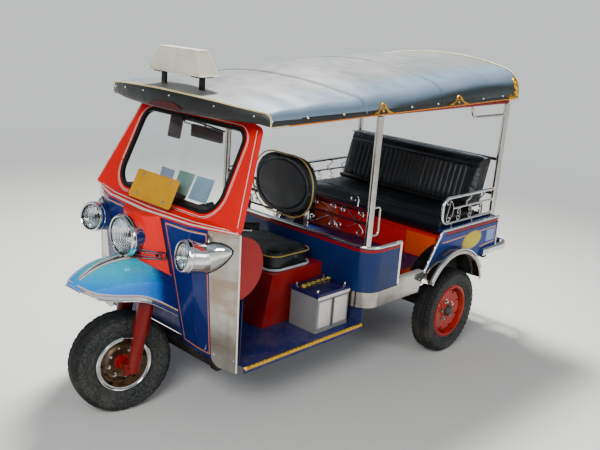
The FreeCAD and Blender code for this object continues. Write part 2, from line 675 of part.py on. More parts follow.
def shield_points(z):
    """Front line of the leg shield at one height: nose edge, crease, strip edge, outer edge."""
    a = FRONT_AXLE_Y
    t = (z - SHIELD_BOTTOM_Z) / (BELTLINE_Z - SHIELD_BOTTOM_Z)
    outer = CAB_HALF_WIDTH - 1
    crease = outer - SHIELD_CREASE_INSET
    low = ((185, a + 250), (crease, a + 232), (outer - STRIP_W - 8, a + 232), (outer, a + 262))
    high = ((150, a + 120), (crease, a + 134), (outer - STRIP_W, a + 172), (outer, a + 246))
    return [vec(x0 + (x1 - x0) * t, y0 + (y1 - y0) * t, z) for (x0, y0), (x1, y1) in zip(low, high)]


def sheet_loft(lines, thickness):
    """Bent sheet between two front lines, with its thickness to the rear."""
    wires = []
    for line in lines:
        back = [p + vec(0, thickness, 0) for p in reversed(line)]
        wires.append(Part.makePolygon(line + back + [line[0]]))
    return Part.makeLoft(wires, True, True)


def leg_shields():
    low = shield_points(SHIELD_BOTTOM_Z)[:3]
    high = shield_points(NOSE_Z[1])[:3]
    panel = sheet_loft([low, high], SKIN)
    panel = panel.cut(fender_envelope(1))
    return both_sides(panel)


def shield_strips():
    low = shield_points(STRIP_BOTTOM_Z)[2:]
    high = shield_points(NOSE_Z[1])[2:]
    strip = sheet_loft([low, high], SKIN + 1)
    radius = 55
    corner = low[0]
    notch = box(corner.x - 1, corner.x + radius, corner.y - 60, corner.y + 60, STRIP_BOTTOM_Z - 1,
                STRIP_BOTTOM_Z + radius)
    keep = cylinder(radius, vec(corner.x + radius, corner.y - 60, STRIP_BOTTOM_Z + radius),
                    vec(corner.x + radius, corner.y + 60, STRIP_BOTTOM_Z + radius))
    return both_sides(strip.cut(notch.cut(keep)))


def nose_line(z, inset):
    """Bowed front of the nose between the leg shields, as an arc at one height."""
    edge = shield_points(z)[0]
    half = edge.x - 1
    return [vec(-half + inset, edge.y + inset, z), vec(0, FRONT_AXLE_Y + 45 + inset, z),
            vec(half - inset, edge.y + inset, z)]


def nose_wire(z):
    front = nose_line(z, 0)
    back = nose_line(z, SKIN)
    return Part.Wire([Part.Arc(*front).toShape(), Part.makeLine(front[2], back[2]),
                      Part.Arc(back[2], back[1], back[0]).toShape(), Part.makeLine(back[0], front[0])])


def nose_centre():
    nose = Part.makeLoft([nose_wire(NOSE_Z[0] - 60), nose_wire(NOSE_Z[1])], True, True)
    return nose.cut(fender_envelope(1))


def front_envelope(z0, z1):
    """Solid behind the faces of the nose and leg shields, to trim what is mounted on them."""
    wires = []
    for z in (z0, z1):
        right = shield_points(z)
        left = [vec(-p.x, p.y, p.z) for p in reversed(right)]
        crown = vec(0, nose_line(z, 0)[1].y, z)
        rear = [vec(700, FRONT_AXLE_Y + 500, z), vec(-700, FRONT_AXLE_Y + 500, z)]
        run = right + rear + left
        edges = [Part.makeLine(a, b) for a, b in zip(run, run[1:])]
        edges.append(Part.Arc(left[-1], crown, right[0]).toShape())
        wires.append(Part.Wire(edges))
    return Part.makeLoft(wires, True, True)


# Front fender sections: y from the axle, half width, edge height, crown height
FENDER_ROWS = (
    (-FRONT_OVERHANG, 62, 712, 728),
    (-205, 128, 686, 768),
    (-120, 170, 672, 806),
    (-25, 190, 656, 820),
    (65, 196, 618, 822),
    (215, 200, 520, 812),
)


def fender_solid(grow, drop):
    """Solid under the fender's outer face. grow widens it, drop lowers the open side."""
    wires = []
    for offset, half, edge, crown in FENDER_ROWS:
        y = FRONT_AXLE_Y + offset
        w = half + grow
        shoulder = edge + (crown - edge) * 0.55
        side_in = w * 0.93
        left = [vec(-w, y, edge - drop), vec(-w, y, edge), vec(-side_in, y, shoulder + grow)]
        right = [vec(side_in, y, shoulder + grow), vec(w, y, edge), vec(w, y, edge - drop)]
        crown_arc = Part.Arc(left[2], vec(0, y, crown + grow), right[0]).toShape()
        wires.append(Part.Wire([Part.makeLine(left[0], left[1]), Part.makeLine(left[1], left[2]), crown_arc,
                                Part.makeLine(right[0], right[1]), Part.makeLine(right[1], right[2]),
                                Part.makeLine(right[2], left[0])]))
    return Part.makeLoft(wires, True, False)


def fender_envelope(grow):
    return fender_solid(grow, 400)


def front_fender():
    lip = 4
    outer = fender_solid(0, lip)
    inner = fender_solid(-4, 60)
    tip = box(-300, 300, FRONT_AXLE_Y - 300, FRONT_AXLE_Y - 256, 600, 900)
    shell = outer.cut(inner.cut(tip))
    return shell.cut(front_envelope(480, BELTLINE_Z))


def screen_point(x, up, out=0):
    """Point on the windscreen's plane: sideways, up its slope from the beltline, and out from its face."""
    rake = math.radians(SCREEN_RAKE)
    return vec(x, SCREEN_FOOT_Y + up * math.sin(rake) - out * math.cos(rake),
               BELTLINE_Z + up * math.cos(rake) + out * math.sin(rake))


def rounded_outline(corners, radii):
    """Closed wire through corner points with an arc of its own radius at each."""
    count = len(corners)
    edges = []
    trims = []
    for index, (corner, radius) in enumerate(zip(corners, radii)):
        before = (corners[index - 1] - corner).normalize()
        after = (corners[(index + 1) % count] - corner).normalize()
        half = before.getAngle(after) / 2
        cut = radius / math.tan(half)
        bisector = (before + after).normalize()
        middle = corner + bisector * (radius / math.sin(half) - radius)
        trims.append((corner + before * cut, middle, corner + after * cut))
    for index, (first, middle, last) in enumerate(trims):
        edges.append(Part.Arc(first, middle, last).toShape())
        edges.append(Part.makeLine(last, trims[(index + 1) % count][0]))
    return Part.Wire(edges)


SCREEN_NORMAL = vec(0, -math.cos(math.radians(SCREEN_RAKE)), math.sin(math.radians(SCREEN_RAKE)))


def screen_outline(grow, out):
    """Glass opening on the windscreen's plane, grown outward by a margin."""
    bottom = 48
    top = 470
    low = GLASS_HALF_WIDTHS[0] + grow
    high = GLASS_HALF_WIDTHS[1] + grow
    corners = [screen_point(-low, bottom - grow, out), screen_point(low, bottom - grow, out),
               screen_point(high, top + grow, out), screen_point(-high, top + grow, out)]
    return rounded_outline(corners, [110 + grow, 110 + grow, 62 + grow, 62 + grow])


def screen_plate(grow, out, thickness):
    return Part.Face(screen_outline(grow, out)).extrude(SCREEN_NORMAL * thickness)


GASKET_W = 20
SURROUND_TOP = 520


def windscreen_surround():
    """Painted frame round the windscreen, with its roll forward over the nose and leg shields."""
    low, high = SURROUND_HALF_WIDTHS
    outline = rounded_outline([screen_point(-low, 8), screen_point(low, 8), screen_point(high, SURROUND_TOP),
                               screen_point(-high, SURROUND_TOP)], [20, 20, 50, 50])
    frame = Part.Face(outline).extrude(SCREEN_NORMAL * -SURROUND_THICK)
    opening = screen_plate(GASKET_W - 4, 10, -SURROUND_THICK - 20)
    frame = frame.cut(opening)
    z0 = NOSE_Z[1] + SEAT_GAP
    base = [vec(p.x, p.y, z0) for p in shield_points(BELTLINE_Z)]
    base[0] = vec(0, FRONT_AXLE_Y + 100, z0)
    back = [screen_point(p.x, 22, -6) for p in base]
    lower = base + [p + vec(0, SKIN, 0) for p in reversed(base)]
    upper = back + [p + vec(0, SKIN, -2) for p in reversed(back)]
    outlines = [Part.makePolygon(line + [line[0]]) for line in (lower, upper)]
    ledge = Part.makeLoft(outlines, True, True)
    return fuse([frame, ledge, mirrored(ledge)])


def windscreen_gasket():
    ring = screen_plate(GASKET_W - 4 - SEAT_GAP, 6, -22)
    hole = screen_plate(-2, 12, -40)
    slot = screen_plate(8, -6, -5 - 2 * SEAT_GAP)
    return ring.cut(hole).cut(slot)


def windscreen_glass():
    return screen_plate(8 - SEAT_GAP, -6 - SEAT_GAP, -5)


def number_plate():
    half = 172
    low = screen_point(0, -6, 75)
    rake = math.radians(SCREEN_RAKE)
    up = vec(0, math.sin(rake), math.cos(rake))
    corners = [low + vec(-half, 0, 0), low + vec(half, 0, 0), low + vec(half, 0, 0) + up * 150,
               low + vec(-half, 0, 0) + up * 150]
    plate = Part.Face(rounded_outline(corners, [14] * 4)).extrude(SCREEN_NORMAL * -3)
    below = windscreen_surround()
    below.translate(vec(0, 0, SEAT_GAP))
    feet = []
    for side in (1, -1):
        start = low + vec(side * 110, 0, 0) + up * 26
        feet.append(cylinder(6, start, start - SCREEN_NORMAL * (75 - SEAT_GAP)).cut(below))
    return fuse([plate] + feet)


def knee_guards():
    """Rounded panel on edge behind each leg shield's outer edge."""
    a = FRONT_AXLE_Y
    x = CAB_HALF_WIDTH - 22
    behind = SKIN + 1 + SEAT_GAP
    top = vec(x, shield_points(1030)[3].y + behind, 1030)
    tip = vec(x, a + 402, 880)
    bottom = vec(x, shield_points(720)[3].y + behind, 720)
    arc = Part.Arc(top, tip, bottom).toShape()
    panel = Part.Face(Part.Wire([arc, Part.makeLine(bottom, top)])).extrude(vec(20, 0, 0))
    return both_sides(panel)


def dashboard():
    back = -SURROUND_THICK - SEAT_GAP
    low = screen_point(0, 12, back)
    high = screen_point(0, 52, back)
    outline = [(low.y, low.z), (high.y, high.z), (high.y + 70, high.z - 6), (low.y + 100, low.z)]
    half = CAB_HALF_WIDTH - 184
    shelf = side_profile(outline, -half, half)
    pod = cylinder(46, vec(0, high.y + 25, high.z + 8), vec(0, high.y + 68, high.z + 16))
    return fuse([shelf, pod])


def interior_mirror():
    top = screen_point(0, 500, -SURROUND_THICK - SEAT_GAP)
    base = screen_point(0, 500, -SURROUND_THICK - 30)
    stem = tube([top, base, base + vec(0, 18, -60)], 5, 12)
    centre = base + vec(0, 22, -78)
    case = box(centre.x - 120, centre.x + 120, centre.y - 8, centre.y + 10, centre.z - 32, centre.z + 32)
    return fuse([stem, case])


# Lamps

HEADLAMP_Z = 928
HEADLAMP_R = 104
SIDE_LAMP_R = 78
SIDE_LAMP_FACE = vec(CAB_HALF_WIDTH - 195, FRONT_AXLE_Y + 66, 921)
SIDE_LAMP_AXIS = vec(0.22, 0.96, -0.16)


def headlamp_shells():
    trim = front_envelope(720, NOSE_Z[1])
    face_y = FRONT_AXLE_Y - 5
    r = HEADLAMP_R
    profile = [(r - 14, 8), (r - 6, 0), (r - 1, 4), (r, 14), (r, 30), (r - 8, 36), (r - 10, 110), (0, 110),
               (0, 60), (r - 50, 44), (r - 14, 14)]
    centre = revolved(profile, vec(0, face_y, HEADLAMP_Z), vec(0, 1, 0))
    r = SIDE_LAMP_R
    profile = [(r - 10, 8), (r - 4, 0), (r, 5), (r + 2, 30), (r - 2, 90), (r - 16, 170), (r - 40, 235),
               (r - 66, 275), (0, 285), (0, 70), (r - 40, 50), (r - 10, 14)]
    bullet = revolved(profile, SIDE_LAMP_FACE, SIDE_LAMP_AXIS)
    bullet = bullet.cut(trim)
    return Part.makeCompound([centre.cut(trim), bullet, mirrored(bullet)])


def lens(radius, depth, base, axis):
    """Domed glass: a spherical cap with a flat back."""
    ball_r = (radius * radius + depth * depth) / (2 * depth)
    centre = base - axis.normalize() * -(ball_r - depth)
    ball = Part.makeSphere(ball_r, centre)
    disc = cylinder(radius + 1, base - axis * (depth + 5), base)
    return ball.common(disc)


def lamp_lenses():
    front = lens(HEADLAMP_R - 14.2, 12, vec(0, FRONT_AXLE_Y - 5 + 7, HEADLAMP_Z), vec(0, 1, 0))
    axis = vec(SIDE_LAMP_AXIS.x, SIDE_LAMP_AXIS.y, SIDE_LAMP_AXIS.z).normalize()
    side = lens(SIDE_LAMP_R - 10.2, 10, SIDE_LAMP_FACE + axis * 7, axis)
    return Part.makeCompound([front, side, mirrored(side)])


# Roof

# Roof sections: y from the rear axle, taken in from the widest, lower edge height, shoulder height and
# radius, crown height
ROOF_ROWS = (
    (-1800, 24, 1514, 1560, 30, 1636),
    (-1320, 8, 1524, 1568, 60, 1688),
    (-840, 2, 1532, 1576, 90, 1750),
    (-360, 0, 1542, 1588, 120, 1787),
    (120, 0, 1552, 1604, 150, 1813),
    (620, 4, 1562, 1622, 165, 1832),
)
ROOF_FRONT_Y = REAR_AXLE_Y - 1785
ROOF_CORNER_Y = REAR_AXLE_Y - 1610
ROOF_REAR_Y = REAR_AXLE_Y + 610
ROOF_REAR_BOW = 45


def roof_solid(side_in, down):
    """Solid under the roof's outer face, taken in at its sides and lowered."""
    rows = []
    for offset, narrower, _, shoulder, radius, crown in ROOF_ROWS:
        rows.append((REAR_AXLE_Y + offset, ROOF_HALF_WIDTH - narrower - side_in, shoulder - down,
                     max(radius - side_in, 12), crown - down, ROOF_LOW_Z))
    return arch_loft(rows)


def roof_plan(inset):
    """Roof outline from above: bowed front, round rear corners."""
    half = ROOF_HALF_WIDTH + 20 - inset
    z = ROOF_LOW_Z - 80
    front_y = ROOF_CORNER_Y + inset
    rear_y = ROOF_REAR_Y - ROOF_REAR_BOW - inset
    front = Part.Arc(vec(-half, front_y, z), vec(0, ROOF_FRONT_Y + inset, z), vec(half, front_y, z)).toShape()
    rear = Part.Arc(vec(half, rear_y, z), vec(0, ROOF_REAR_Y - inset, z), vec(-half, rear_y, z)).toShape()
    left = Part.makeLine(vec(-half, rear_y, z), vec(-half, front_y, z))
    right = Part.makeLine(vec(half, front_y, z), vec(half, rear_y, z))
    return Part.Face(Part.Wire([front, right, rear, left])).extrude(vec(0, 0, 700))


def roof_canopy():
    outer = roof_solid(0, 0).common(roof_plan(0))
    inner = roof_solid(ROOF_THICK, ROOF_THICK).common(roof_plan(ROOF_THICK))
    wires = []
    half = ROOF_HALF_WIDTH + 60
    for offset, _, edge_z, _, _, crown in ROOF_ROWS:
        y = REAR_AXLE_Y + offset
        low_z = ROOF_LOW_Z - 60
        edge = [vec(-half, y, edge_z), vec(0, y, crown - ROOF_BAND - 14), vec(half, y, edge_z)]
        foot = [vec(half, y, low_z), vec(-half, y, low_z)]
        wires.append(Part.Wire([Part.Arc(*edge).toShape(), Part.makeLine(edge[2], foot[0]),
                                Part.makeLine(foot[0], foot[1]), Part.makeLine(foot[1], edge[0])]))
    under = Part.makeLoft(wires, True, False)
    return outer.cut(inner).cut(under)


def between(value, low, high, start, end):
    return start + (end - start) * (value - low) / (high - low)


def roof_rail_z(y):
    return between(y, *ROOF_RAIL_Y, *ROOF_RAIL_Z)


def roof_crown_z(y):
    """Height of the roof's outer crown at one place along it."""
    offset = y - REAR_AXLE_Y
    for before, after in zip(ROOF_ROWS, ROOF_ROWS[1:]):
        if offset <= after[0]:
            return between(offset, before[0], after[0], before[-1], after[-1])
    return ROOF_ROWS[-1][-1]


def roof_bow(y, lower):
    """Arched flat bar from rail to rail, its crown a little lower than the canopy's inner face."""
    y0 = y - BOW_WIDTH / 2
    rail_z = roof_rail_z(y)
    crown_z = roof_crown_z(y0) - ROOF_THICK - lower

    def arc(down):
        return Part.Arc(vec(-ROOF_RAIL_X, y0, rail_z - down), vec(0, y0, crown_z - down),
                        vec(ROOF_RAIL_X, y0, rail_z - down)).toShape()

    top = arc(0)
    under = arc(BOW_THICK)
    ends = [Part.makeLine(top.Vertexes[i].Point, under.Vertexes[i].Point) for i in (0, 1)]
    return Part.Face(Part.Wire(Part.__sortEdges__([top, under] + ends))).extrude(vec(0, BOW_WIDTH, 0))


def roof_frame():
    pieces = []
    for side in (1, -1):
        ends = [vec(side * ROOF_RAIL_X, y, z) for y, z in zip(ROOF_RAIL_Y, ROOF_RAIL_Z)]
        pieces.append(cylinder(ROOF_RAIL_R, *ends))
    front_y = ROOF_RAIL_Y[0] + 50
    pieces.append(roof_bow(front_y, 12))
    pieces.append(roof_bow(REAR_POST_Y, 12))
    for row in ROOF_ROWS[1:-1]:
        pieces.append(roof_bow(REAR_AXLE_Y + row[0], 2 * SEAT_GAP))
    # Short stays between the front bow and the top of the windscreen surround
    surround_top = screen_point(0, SURROUND_TOP)
    for side in (1, -1):
        x = side * 430
        pieces.append(cylinder(14, vec(x, front_y, surround_top.z + SEAT_GAP), vec(x, front_y, 1580)))
    return fuse(pieces)


def post_top(y):
    return roof_rail_z(y - POST_R) - ROOF_RAIL_R - SEAT_GAP


def roof_posts():
    posts = []
    rear_frame = []
    foot = CAPPING_Z + CAPPING_R + SEAT_GAP
    for side in (1, -1):
        x = side * POST_X
        y = MID_POST_Y
        middle = cylinder(POST_R, vec(x, y, foot), vec(x, y, post_top(y)))
        loop_y = y + POST_R + 60
        loop = tube([vec(x, y, 880), vec(x, loop_y, 880), vec(x, loop_y, 1040), vec(x, y, 1040)], 6, 22)
        posts.append(fuse([middle, loop]))
        y = REAR_POST_Y
        rear = cylinder(POST_R, vec(x, y, QUARTER_TOP_Z + SEAT_GAP), vec(x, y, post_top(y)))
        grab_y = y - 420
        grab = tube([vec(x, y, 1490), vec(x, grab_y, 1490), vec(x, grab_y, post_top(grab_y))], 9, 60)
        rear_frame += [rear, grab]
    for z in (BENCH_BACK_TOP_Z - 25, 960):
        rear_frame.append(cylinder(12, vec(-POST_X, REAR_POST_Y, z), vec(POST_X, REAR_POST_Y, z)))
    posts.append(fuse(rear_frame))
    return Part.makeCompound(posts)


def roof_sign():
    y = REAR_AXLE_Y - 1650
    rows = ((1712, 212, 62), (1830, 150, 34))
    wires = []
    for z, half, depth in rows:
        corners = [vec(-half, y - depth, z), vec(half, y - depth, z),
                   vec(half, y + depth, z), vec(-half, y + depth, z)]
        wires.append(rounded_outline(corners, [14] * 4))
    return Part.makeLoft(wires, True, True)


def roof_sign_legs():
    y = REAR_AXLE_Y - 1650
    legs = []
    for side in (1, -1):
        x = side * 150
        legs.append(fuse([box(x - 14, x + 14, y - 8, y + 8, 1640, 1712 - SEAT_GAP),
                          box(x - 30, x + 30, y - 45, y + 45, 1703, 1712 - SEAT_GAP)]))
    outer = roof_solid(0, 0)
    return Part.makeCompound([leg.cut(outer) for leg in legs])


# Ironwork: scrolls of flat bar, drawn as runs of lines and arcs in (u, v) on a plane of their own

BAR_WIDTH = 9
BAR_THICK = 4
BAR_SPACE = BAR_THICK / 2 + SEAT_GAP
RAIL_FRONT_Y = REAR_AXLE_Y - 88
RAIL_TOP_Z = 998
RAIL_MID_Z = 925
RAIL_LOW_Z = 832
RAIL_TUBE_R = 10
RAIL_BAR_R = 7
PARTITION_Z = (862, 945, 1020)
PARTITION_R = (6, 9, 9)


def curl(start, heading, radii, turn):
    """Half circles that tighten, as (start, middle, end) points. turn is 1 to the left, -1 to the right."""
    arcs = []
    point = start
    for radius in radii:
        ahead = (math.cos(heading) * radius, math.sin(heading) * radius)
        left = (-ahead[1] * turn, ahead[0] * turn)
        centre = (point[0] + left[0], point[1] + left[1])
        end = (centre[0] + left[0], centre[1] + left[1])
        arcs.append((point, (centre[0] + ahead[0], centre[1] + ahead[1]), end))
        point = end
        heading += math.pi
    return arcs


def flat_bar(run, plane):
    """Flat bar bent along a run, its width square to the plane."""
    edges = []
    for points in run:
        places = [plane(*point) for point in points]
        edges.append(Part.makeLine(*places) if len(places) == 2 else Part.Arc(*places).toShape())
    start = edges[0].valueAt(edges[0].FirstParameter)
    heading = edges[0].tangentAt(edges[0].FirstParameter)
    across = (plane(1, 0) - plane(0, 0)).cross(plane(0, 1) - plane(0, 0))
    out = heading.cross(across).normalize() * (BAR_THICK / 2)
    across = across * (BAR_WIDTH / 2)
    section = Part.makePolygon([start + across + out, start - across + out, start - across - out,
                                start + across - out, start + across + out])
    return Part.Wire(edges).makePipeShell([section], True, False)


def highest(arcs):
    """Top of half circles that follow each other, from points along them."""
    top = 0
    for start, middle, end in arcs:
        centre = ((start[0] + end[0]) / 2, (start[1] + end[1]) / 2)
        for share in range(13):
            angle = math.pi * share / 12
            v = (centre[1] + (start[1] - centre[1]) * math.cos(angle)
                 + (middle[1] - centre[1]) * math.sin(angle))
            top = max(top, v)
    return top


def placed(run, origin, scale):
    return [tuple((origin[0] + u * scale, origin[1] + v * scale) for u, v in points) for points in run]


def double_scroll(centre, angle, length, radii, reach, opposite):
    """Straight bar with a curl at each end, sized so that it just fits between two rails.

    length and radii are shares of one another; opposite maps one end to the other.
    """
    heading = math.radians(angle)
    end = (math.cos(heading) * length / 2, math.sin(heading) * length / 2)
    arcs = curl(end, heading, radii, 1)
    other = [tuple(opposite(*point) for point in reversed(points)) for points in reversed(arcs)]
    run = other + [(opposite(*end), end)] + arcs
    return placed(run, centre, reach / highest(arcs))


def s_scroll(centre, angle, length, radii, reach):
    return double_scroll(centre, angle, length, radii, reach, lambda u, v: (-u, -v))


def c_scroll(centre, length, radii, reach):
    return double_scroll(centre, 90, length, radii, reach, lambda u, v: (u, -v))


def hooked_bar(start, angle, length, radii, rise, down):
    """Straight bar that ends in one curl, rising (or with down, falling) by a given height from its start."""
    heading = math.radians(angle)
    end = (math.cos(heading) * length, math.sin(heading) * length)
    arcs = curl(end, heading, radii, 1)
    run = [((0, 0), end)] + arcs
    scale = rise / highest(arcs)
    if down:
        run = [tuple((u, -v) for u, v in points) for points in run]
    return placed(run, start, scale)


def side_scroll_rails():
    x = POST_X

    def plane(u, v):
        return vec(x, REAR_AXLE_Y + u, v)

    front = RAIL_FRONT_Y - REAR_AXLE_Y
    rear = REAR_POST_Y - POST_R - SEAT_GAP - REAR_AXLE_Y
    loop = tube([plane(rear, RAIL_TOP_Z), plane(front, RAIL_TOP_Z), plane(front, RAIL_LOW_Z),
                 plane(rear, RAIL_LOW_Z)], RAIL_TUBE_R, 55)
    bow_u = front + 115
    middle = cylinder(RAIL_BAR_R, plane(bow_u + BAR_SPACE, RAIL_MID_Z), plane(rear, RAIL_MID_Z))
    feet = [cylinder(7, plane(u, QUARTER_TOP_Z + SEAT_GAP), plane(u, RAIL_LOW_Z)) for u in (30, 270)]
    pieces = [fuse([loop] + feet), middle]
    top = RAIL_TOP_Z - RAIL_TUBE_R - BAR_SPACE
    bottom = RAIL_LOW_Z + RAIL_TUBE_R + BAR_SPACE
    centre_v = (top + bottom) / 2
    pieces.append(flat_bar([((front + 50, top), (bow_u, centre_v), (front + 50, bottom))], plane))
    pieces.append(flat_bar(s_scroll((front + 60, centre_v), 75, 1, (0.2, 0.12), (top - bottom) / 2), plane))
    above = RAIL_MID_Z + RAIL_BAR_R + BAR_SPACE
    for u in (200, 360):
        run = s_scroll((u, (top + above) / 2), 22, 2, (0.3, 0.18), (top - above) / 2)
        pieces.append(flat_bar(run, plane))
    below = RAIL_MID_Z - RAIL_BAR_R - BAR_SPACE
    for u in (110, 245, 380):
        run = c_scroll((u, (bottom + below) / 2), 0.7, (0.32, 0.2), (below - bottom) / 2)
        pieces.append(flat_bar(run, plane))
    return both_sides(Part.makeCompound(pieces))


def partition_rail():
    y = MID_POST_Y
    half = POST_X - POST_R - SEAT_GAP

    def plane(u, v):
        return vec(u, y, v)

    rails = [cylinder(r, plane(-half, z), plane(half, z)) for z, r in zip(PARTITION_Z, PARTITION_R)]
    # Uprights carry the driver's backrest and stand on the capping rail
    for side in (1, -1):
        x0 = side * 130 - 15
        x1 = side * 130 + 15
        rails.append(box(x0, x1, y - 10, y, CAPPING_Z + CAPPING_R + SEAT_GAP, 1120))
        rails.append(box(x0, x1, BACKREST_REAR_Y + SEAT_GAP, y, 1060, 1120))
    (low, middle, high), (low_r, middle_r, high_r) = PARTITION_Z, PARTITION_R
    foot = middle_r + 2 * BAR_SPACE
    rise = high - high_r - BAR_SPACE - middle - foot
    drop = middle - foot - low - low_r - BAR_SPACE
    scrolls = []
    for centre in (515, 310):
        scrolls.append(hooked_bar((centre - 18, middle + foot), 151, 1, (0.17, 0.1), rise, False))
        scrolls.append(hooked_bar((centre + 4, middle + foot), 40, 0.5, (0.35, 0.2), rise, False))
        scrolls.append(hooked_bar((centre - 18, middle - foot), 151, 1, (0.17, 0.1), drop, True))
        scrolls.append(hooked_bar((centre + 4, middle - foot), 40, 0.5, (0.35, 0.2), drop, True))
    hook = hooked_bar((500, high + high_r + 2 * SEAT_GAP), 85, 1, (0.8, 0.45), 62, False)
    bars = [both_sides(flat_bar(run, plane)) for run in scrolls + [hook]]
    return Part.makeCompound([fuse(rails)] + bars)


# Seats

def engine_cover():
    """Hollow box over the engine that carries the driver's seat."""
    y0 = ENGINE_Y[0] - 75
    y1 = BULKHEAD_Y - SEAT_GAP
    z0 = CAB_FLOOR_Z + SEAT_GAP
    half = COVER_HALF_WIDTH
    outline = [(y0 - 60, z0), (y0, COVER_TOP_Z), (y1, COVER_TOP_Z), (y1, z0)]
    outer = side_profile(outline, -half, half)
    wall = 12
    inner = side_profile([(y0 - 60 + wall, z0 - 5), (y0 + wall, COVER_TOP_Z - wall),
                          (y1 - wall, COVER_TOP_Z - wall), (y1 - wall, z0 - 5)], -half + wall, half - wall)
    return outer.cut(inner)


def driver_cushion():
    y0 = ENGINE_Y[0] - 60
    y1 = BULKHEAD_Y - 60
    half = 285
    z0 = COVER_TOP_Z + SEAT_GAP
    corners = [vec(-half, y0, z0), vec(half, y0, z0), vec(half, y1, z0), vec(-half, y1, z0)]
    pad = Part.Face(rounded_outline(corners, [70] * 4)).extrude(vec(0, 0, DRIVER_SEAT_TOP_Z - z0))
    return pad


def driver_backrest():
    y = BACKREST_REAR_Y - 62
    half_w = 250
    z0 = 880
    z1 = 1250
    corners = [vec(-half_w, y, z0), vec(half_w, y, z0), vec(half_w, y, z1), vec(-half_w, y, z1)]
    return Part.Face(rounded_outline(corners, [170] * 4)).extrude(vec(0, 62, 0))


def bench_box():
    half = BENCH_BOX_HALF_WIDTH
    y0 = BENCH_BOX_Y
    y1 = REAR_PANEL_Y - 120
    z0 = PASSENGER_FLOOR_Z + SEAT_GAP
    outer = box(-half, half, y0, y1, z0, BENCH_DECK_Z)
    inner = box(-half + 12, half - 12, y0 + 12, y1 - 12, z0 - 5, BENCH_DECK_Z - 12)
    shell = outer.cut(inner)
    deck = box(-BENCH_HALF_WIDTH, BENCH_HALF_WIDTH, y0 - 20, y1, BENCH_DECK_Z - 12, BENCH_DECK_Z)
    return fuse([shell, deck])


def bench_cushion():
    z0 = BENCH_DECK_Z + SEAT_GAP
    y0 = BENCH_FRONT_Y
    y1 = BENCH_BACK_Y + 70
    outline = [(y0 + 30, z0), (y0, z0 + 25), (y0 - 12, BENCH_TOP_Z - 60), (y0 + 10, BENCH_TOP_Z - 15),
               (y0 + 60, BENCH_TOP_Z), (y1, BENCH_TOP_Z), (y1, z0)]
    return side_profile(outline, -BENCH_HALF_WIDTH, BENCH_HALF_WIDTH)


def bench_backrest():
    z0 = BENCH_TOP_Z + SEAT_GAP
    z1 = BENCH_BACK_TOP_Z
    y0 = BENCH_BACK_Y
    lean = 90
    depth = 105
    outline = [(y0 - 8, z0), (y0 + lean - 5, z1 - 40), (y0 + lean + 20, z1), (y0 + lean + depth - 15, z1),
               (y0 + lean + depth, z1 - 25), (y0 + depth, z0)]
    return side_profile(outline, -BENCH_HALF_WIDTH + 8, BENCH_HALF_WIDTH - 8)


def battery():
    x = COVER_HALF_WIDTH + BATTERY_GAP
    y = BULKHEAD_Y - BATTERY_BEHIND - BATTERY_LENGTH
    z = CAB_FLOOR_Z + BATTERY_HEIGHT
    lip = 4
    case = box(x, x + BATTERY_W, y, y + BATTERY_LENGTH, CAB_FLOOR_Z + SEAT_GAP, z)
    lid = box(x - lip, x + BATTERY_W + lip, y - lip, y + BATTERY_LENGTH + lip, z, z + BATTERY_LID)
    top = z + BATTERY_LID
    caps = []
    for index in range(6):
        foot = vec(x + 70, y + 25 + 40 * index, top)
        caps.append(cylinder(13, foot - vec(0, 0, 1), foot + vec(0, 0, 15)))
    return fuse([case, lid] + caps)


PIECES = {
    "chassis_frame": chassis_frame, "rear_axle": rear_axle, "leaf_springs": leaf_springs, "engine": engine,
    "exhaust": exhaust, "cab_floor": cab_floor,
    "passenger_floor": passenger_floor, "front_bulkhead": front_bulkhead, "bulkhead_rail": bulkhead_rail,
    "sill_skirts": sill_skirts, "quarter_panels": quarter_panels, "rear_panel": rear_panel,
    "rear_fenders": rear_fenders, "wheel_housings": wheel_housings, "rear_bumper": rear_bumper,
    "tail_lamps": tail_lamps, "leg_shields": leg_shields, "shield_strips": shield_strips,
    "nose_centre": nose_centre, "front_fender": front_fender, "windscreen_surround": windscreen_surround,
    "windscreen_gasket": windscreen_gasket, "windscreen_glass": windscreen_glass,
    "number_plate": number_plate,
    "knee_guards": knee_guards, "dashboard": dashboard, "interior_mirror": interior_mirror,
    "headlamp_shells": headlamp_shells, "lamp_lenses": lamp_lenses, "roof_canopy": roof_canopy,
    "roof_frame": roof_frame, "roof_posts": roof_posts, "roof_sign": roof_sign,
    "roof_sign_legs": roof_sign_legs, "side_scroll_rails": side_scroll_rails,
    "partition_rail": partition_rail,
    "engine_cover": engine_cover, "driver_cushion": driver_cushion,
    "driver_backrest": driver_backrest, "bench_box": bench_box,
    "bench_cushion": bench_cushion, "bench_backrest": bench_backrest,
    "battery": battery, "front_fork": front_fork, "handlebar": handlebar,
}


def main():
    os.makedirs("parts", exist_ok=True)
    shapes = {name: make() for name, make in PIECES.items()}
    shapes.update(front_wheel_pieces())
    shapes.update(rear_wheel_pieces())
    for name, shape in shapes.items():
        shape.exportStep(os.path.join("parts", name + ".step"))


main()
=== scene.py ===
import math

import bmesh
import bpy
import numpy as np
from mathutils import Matrix, Vector, noise
from mathutils.bvhtree import BVHTree


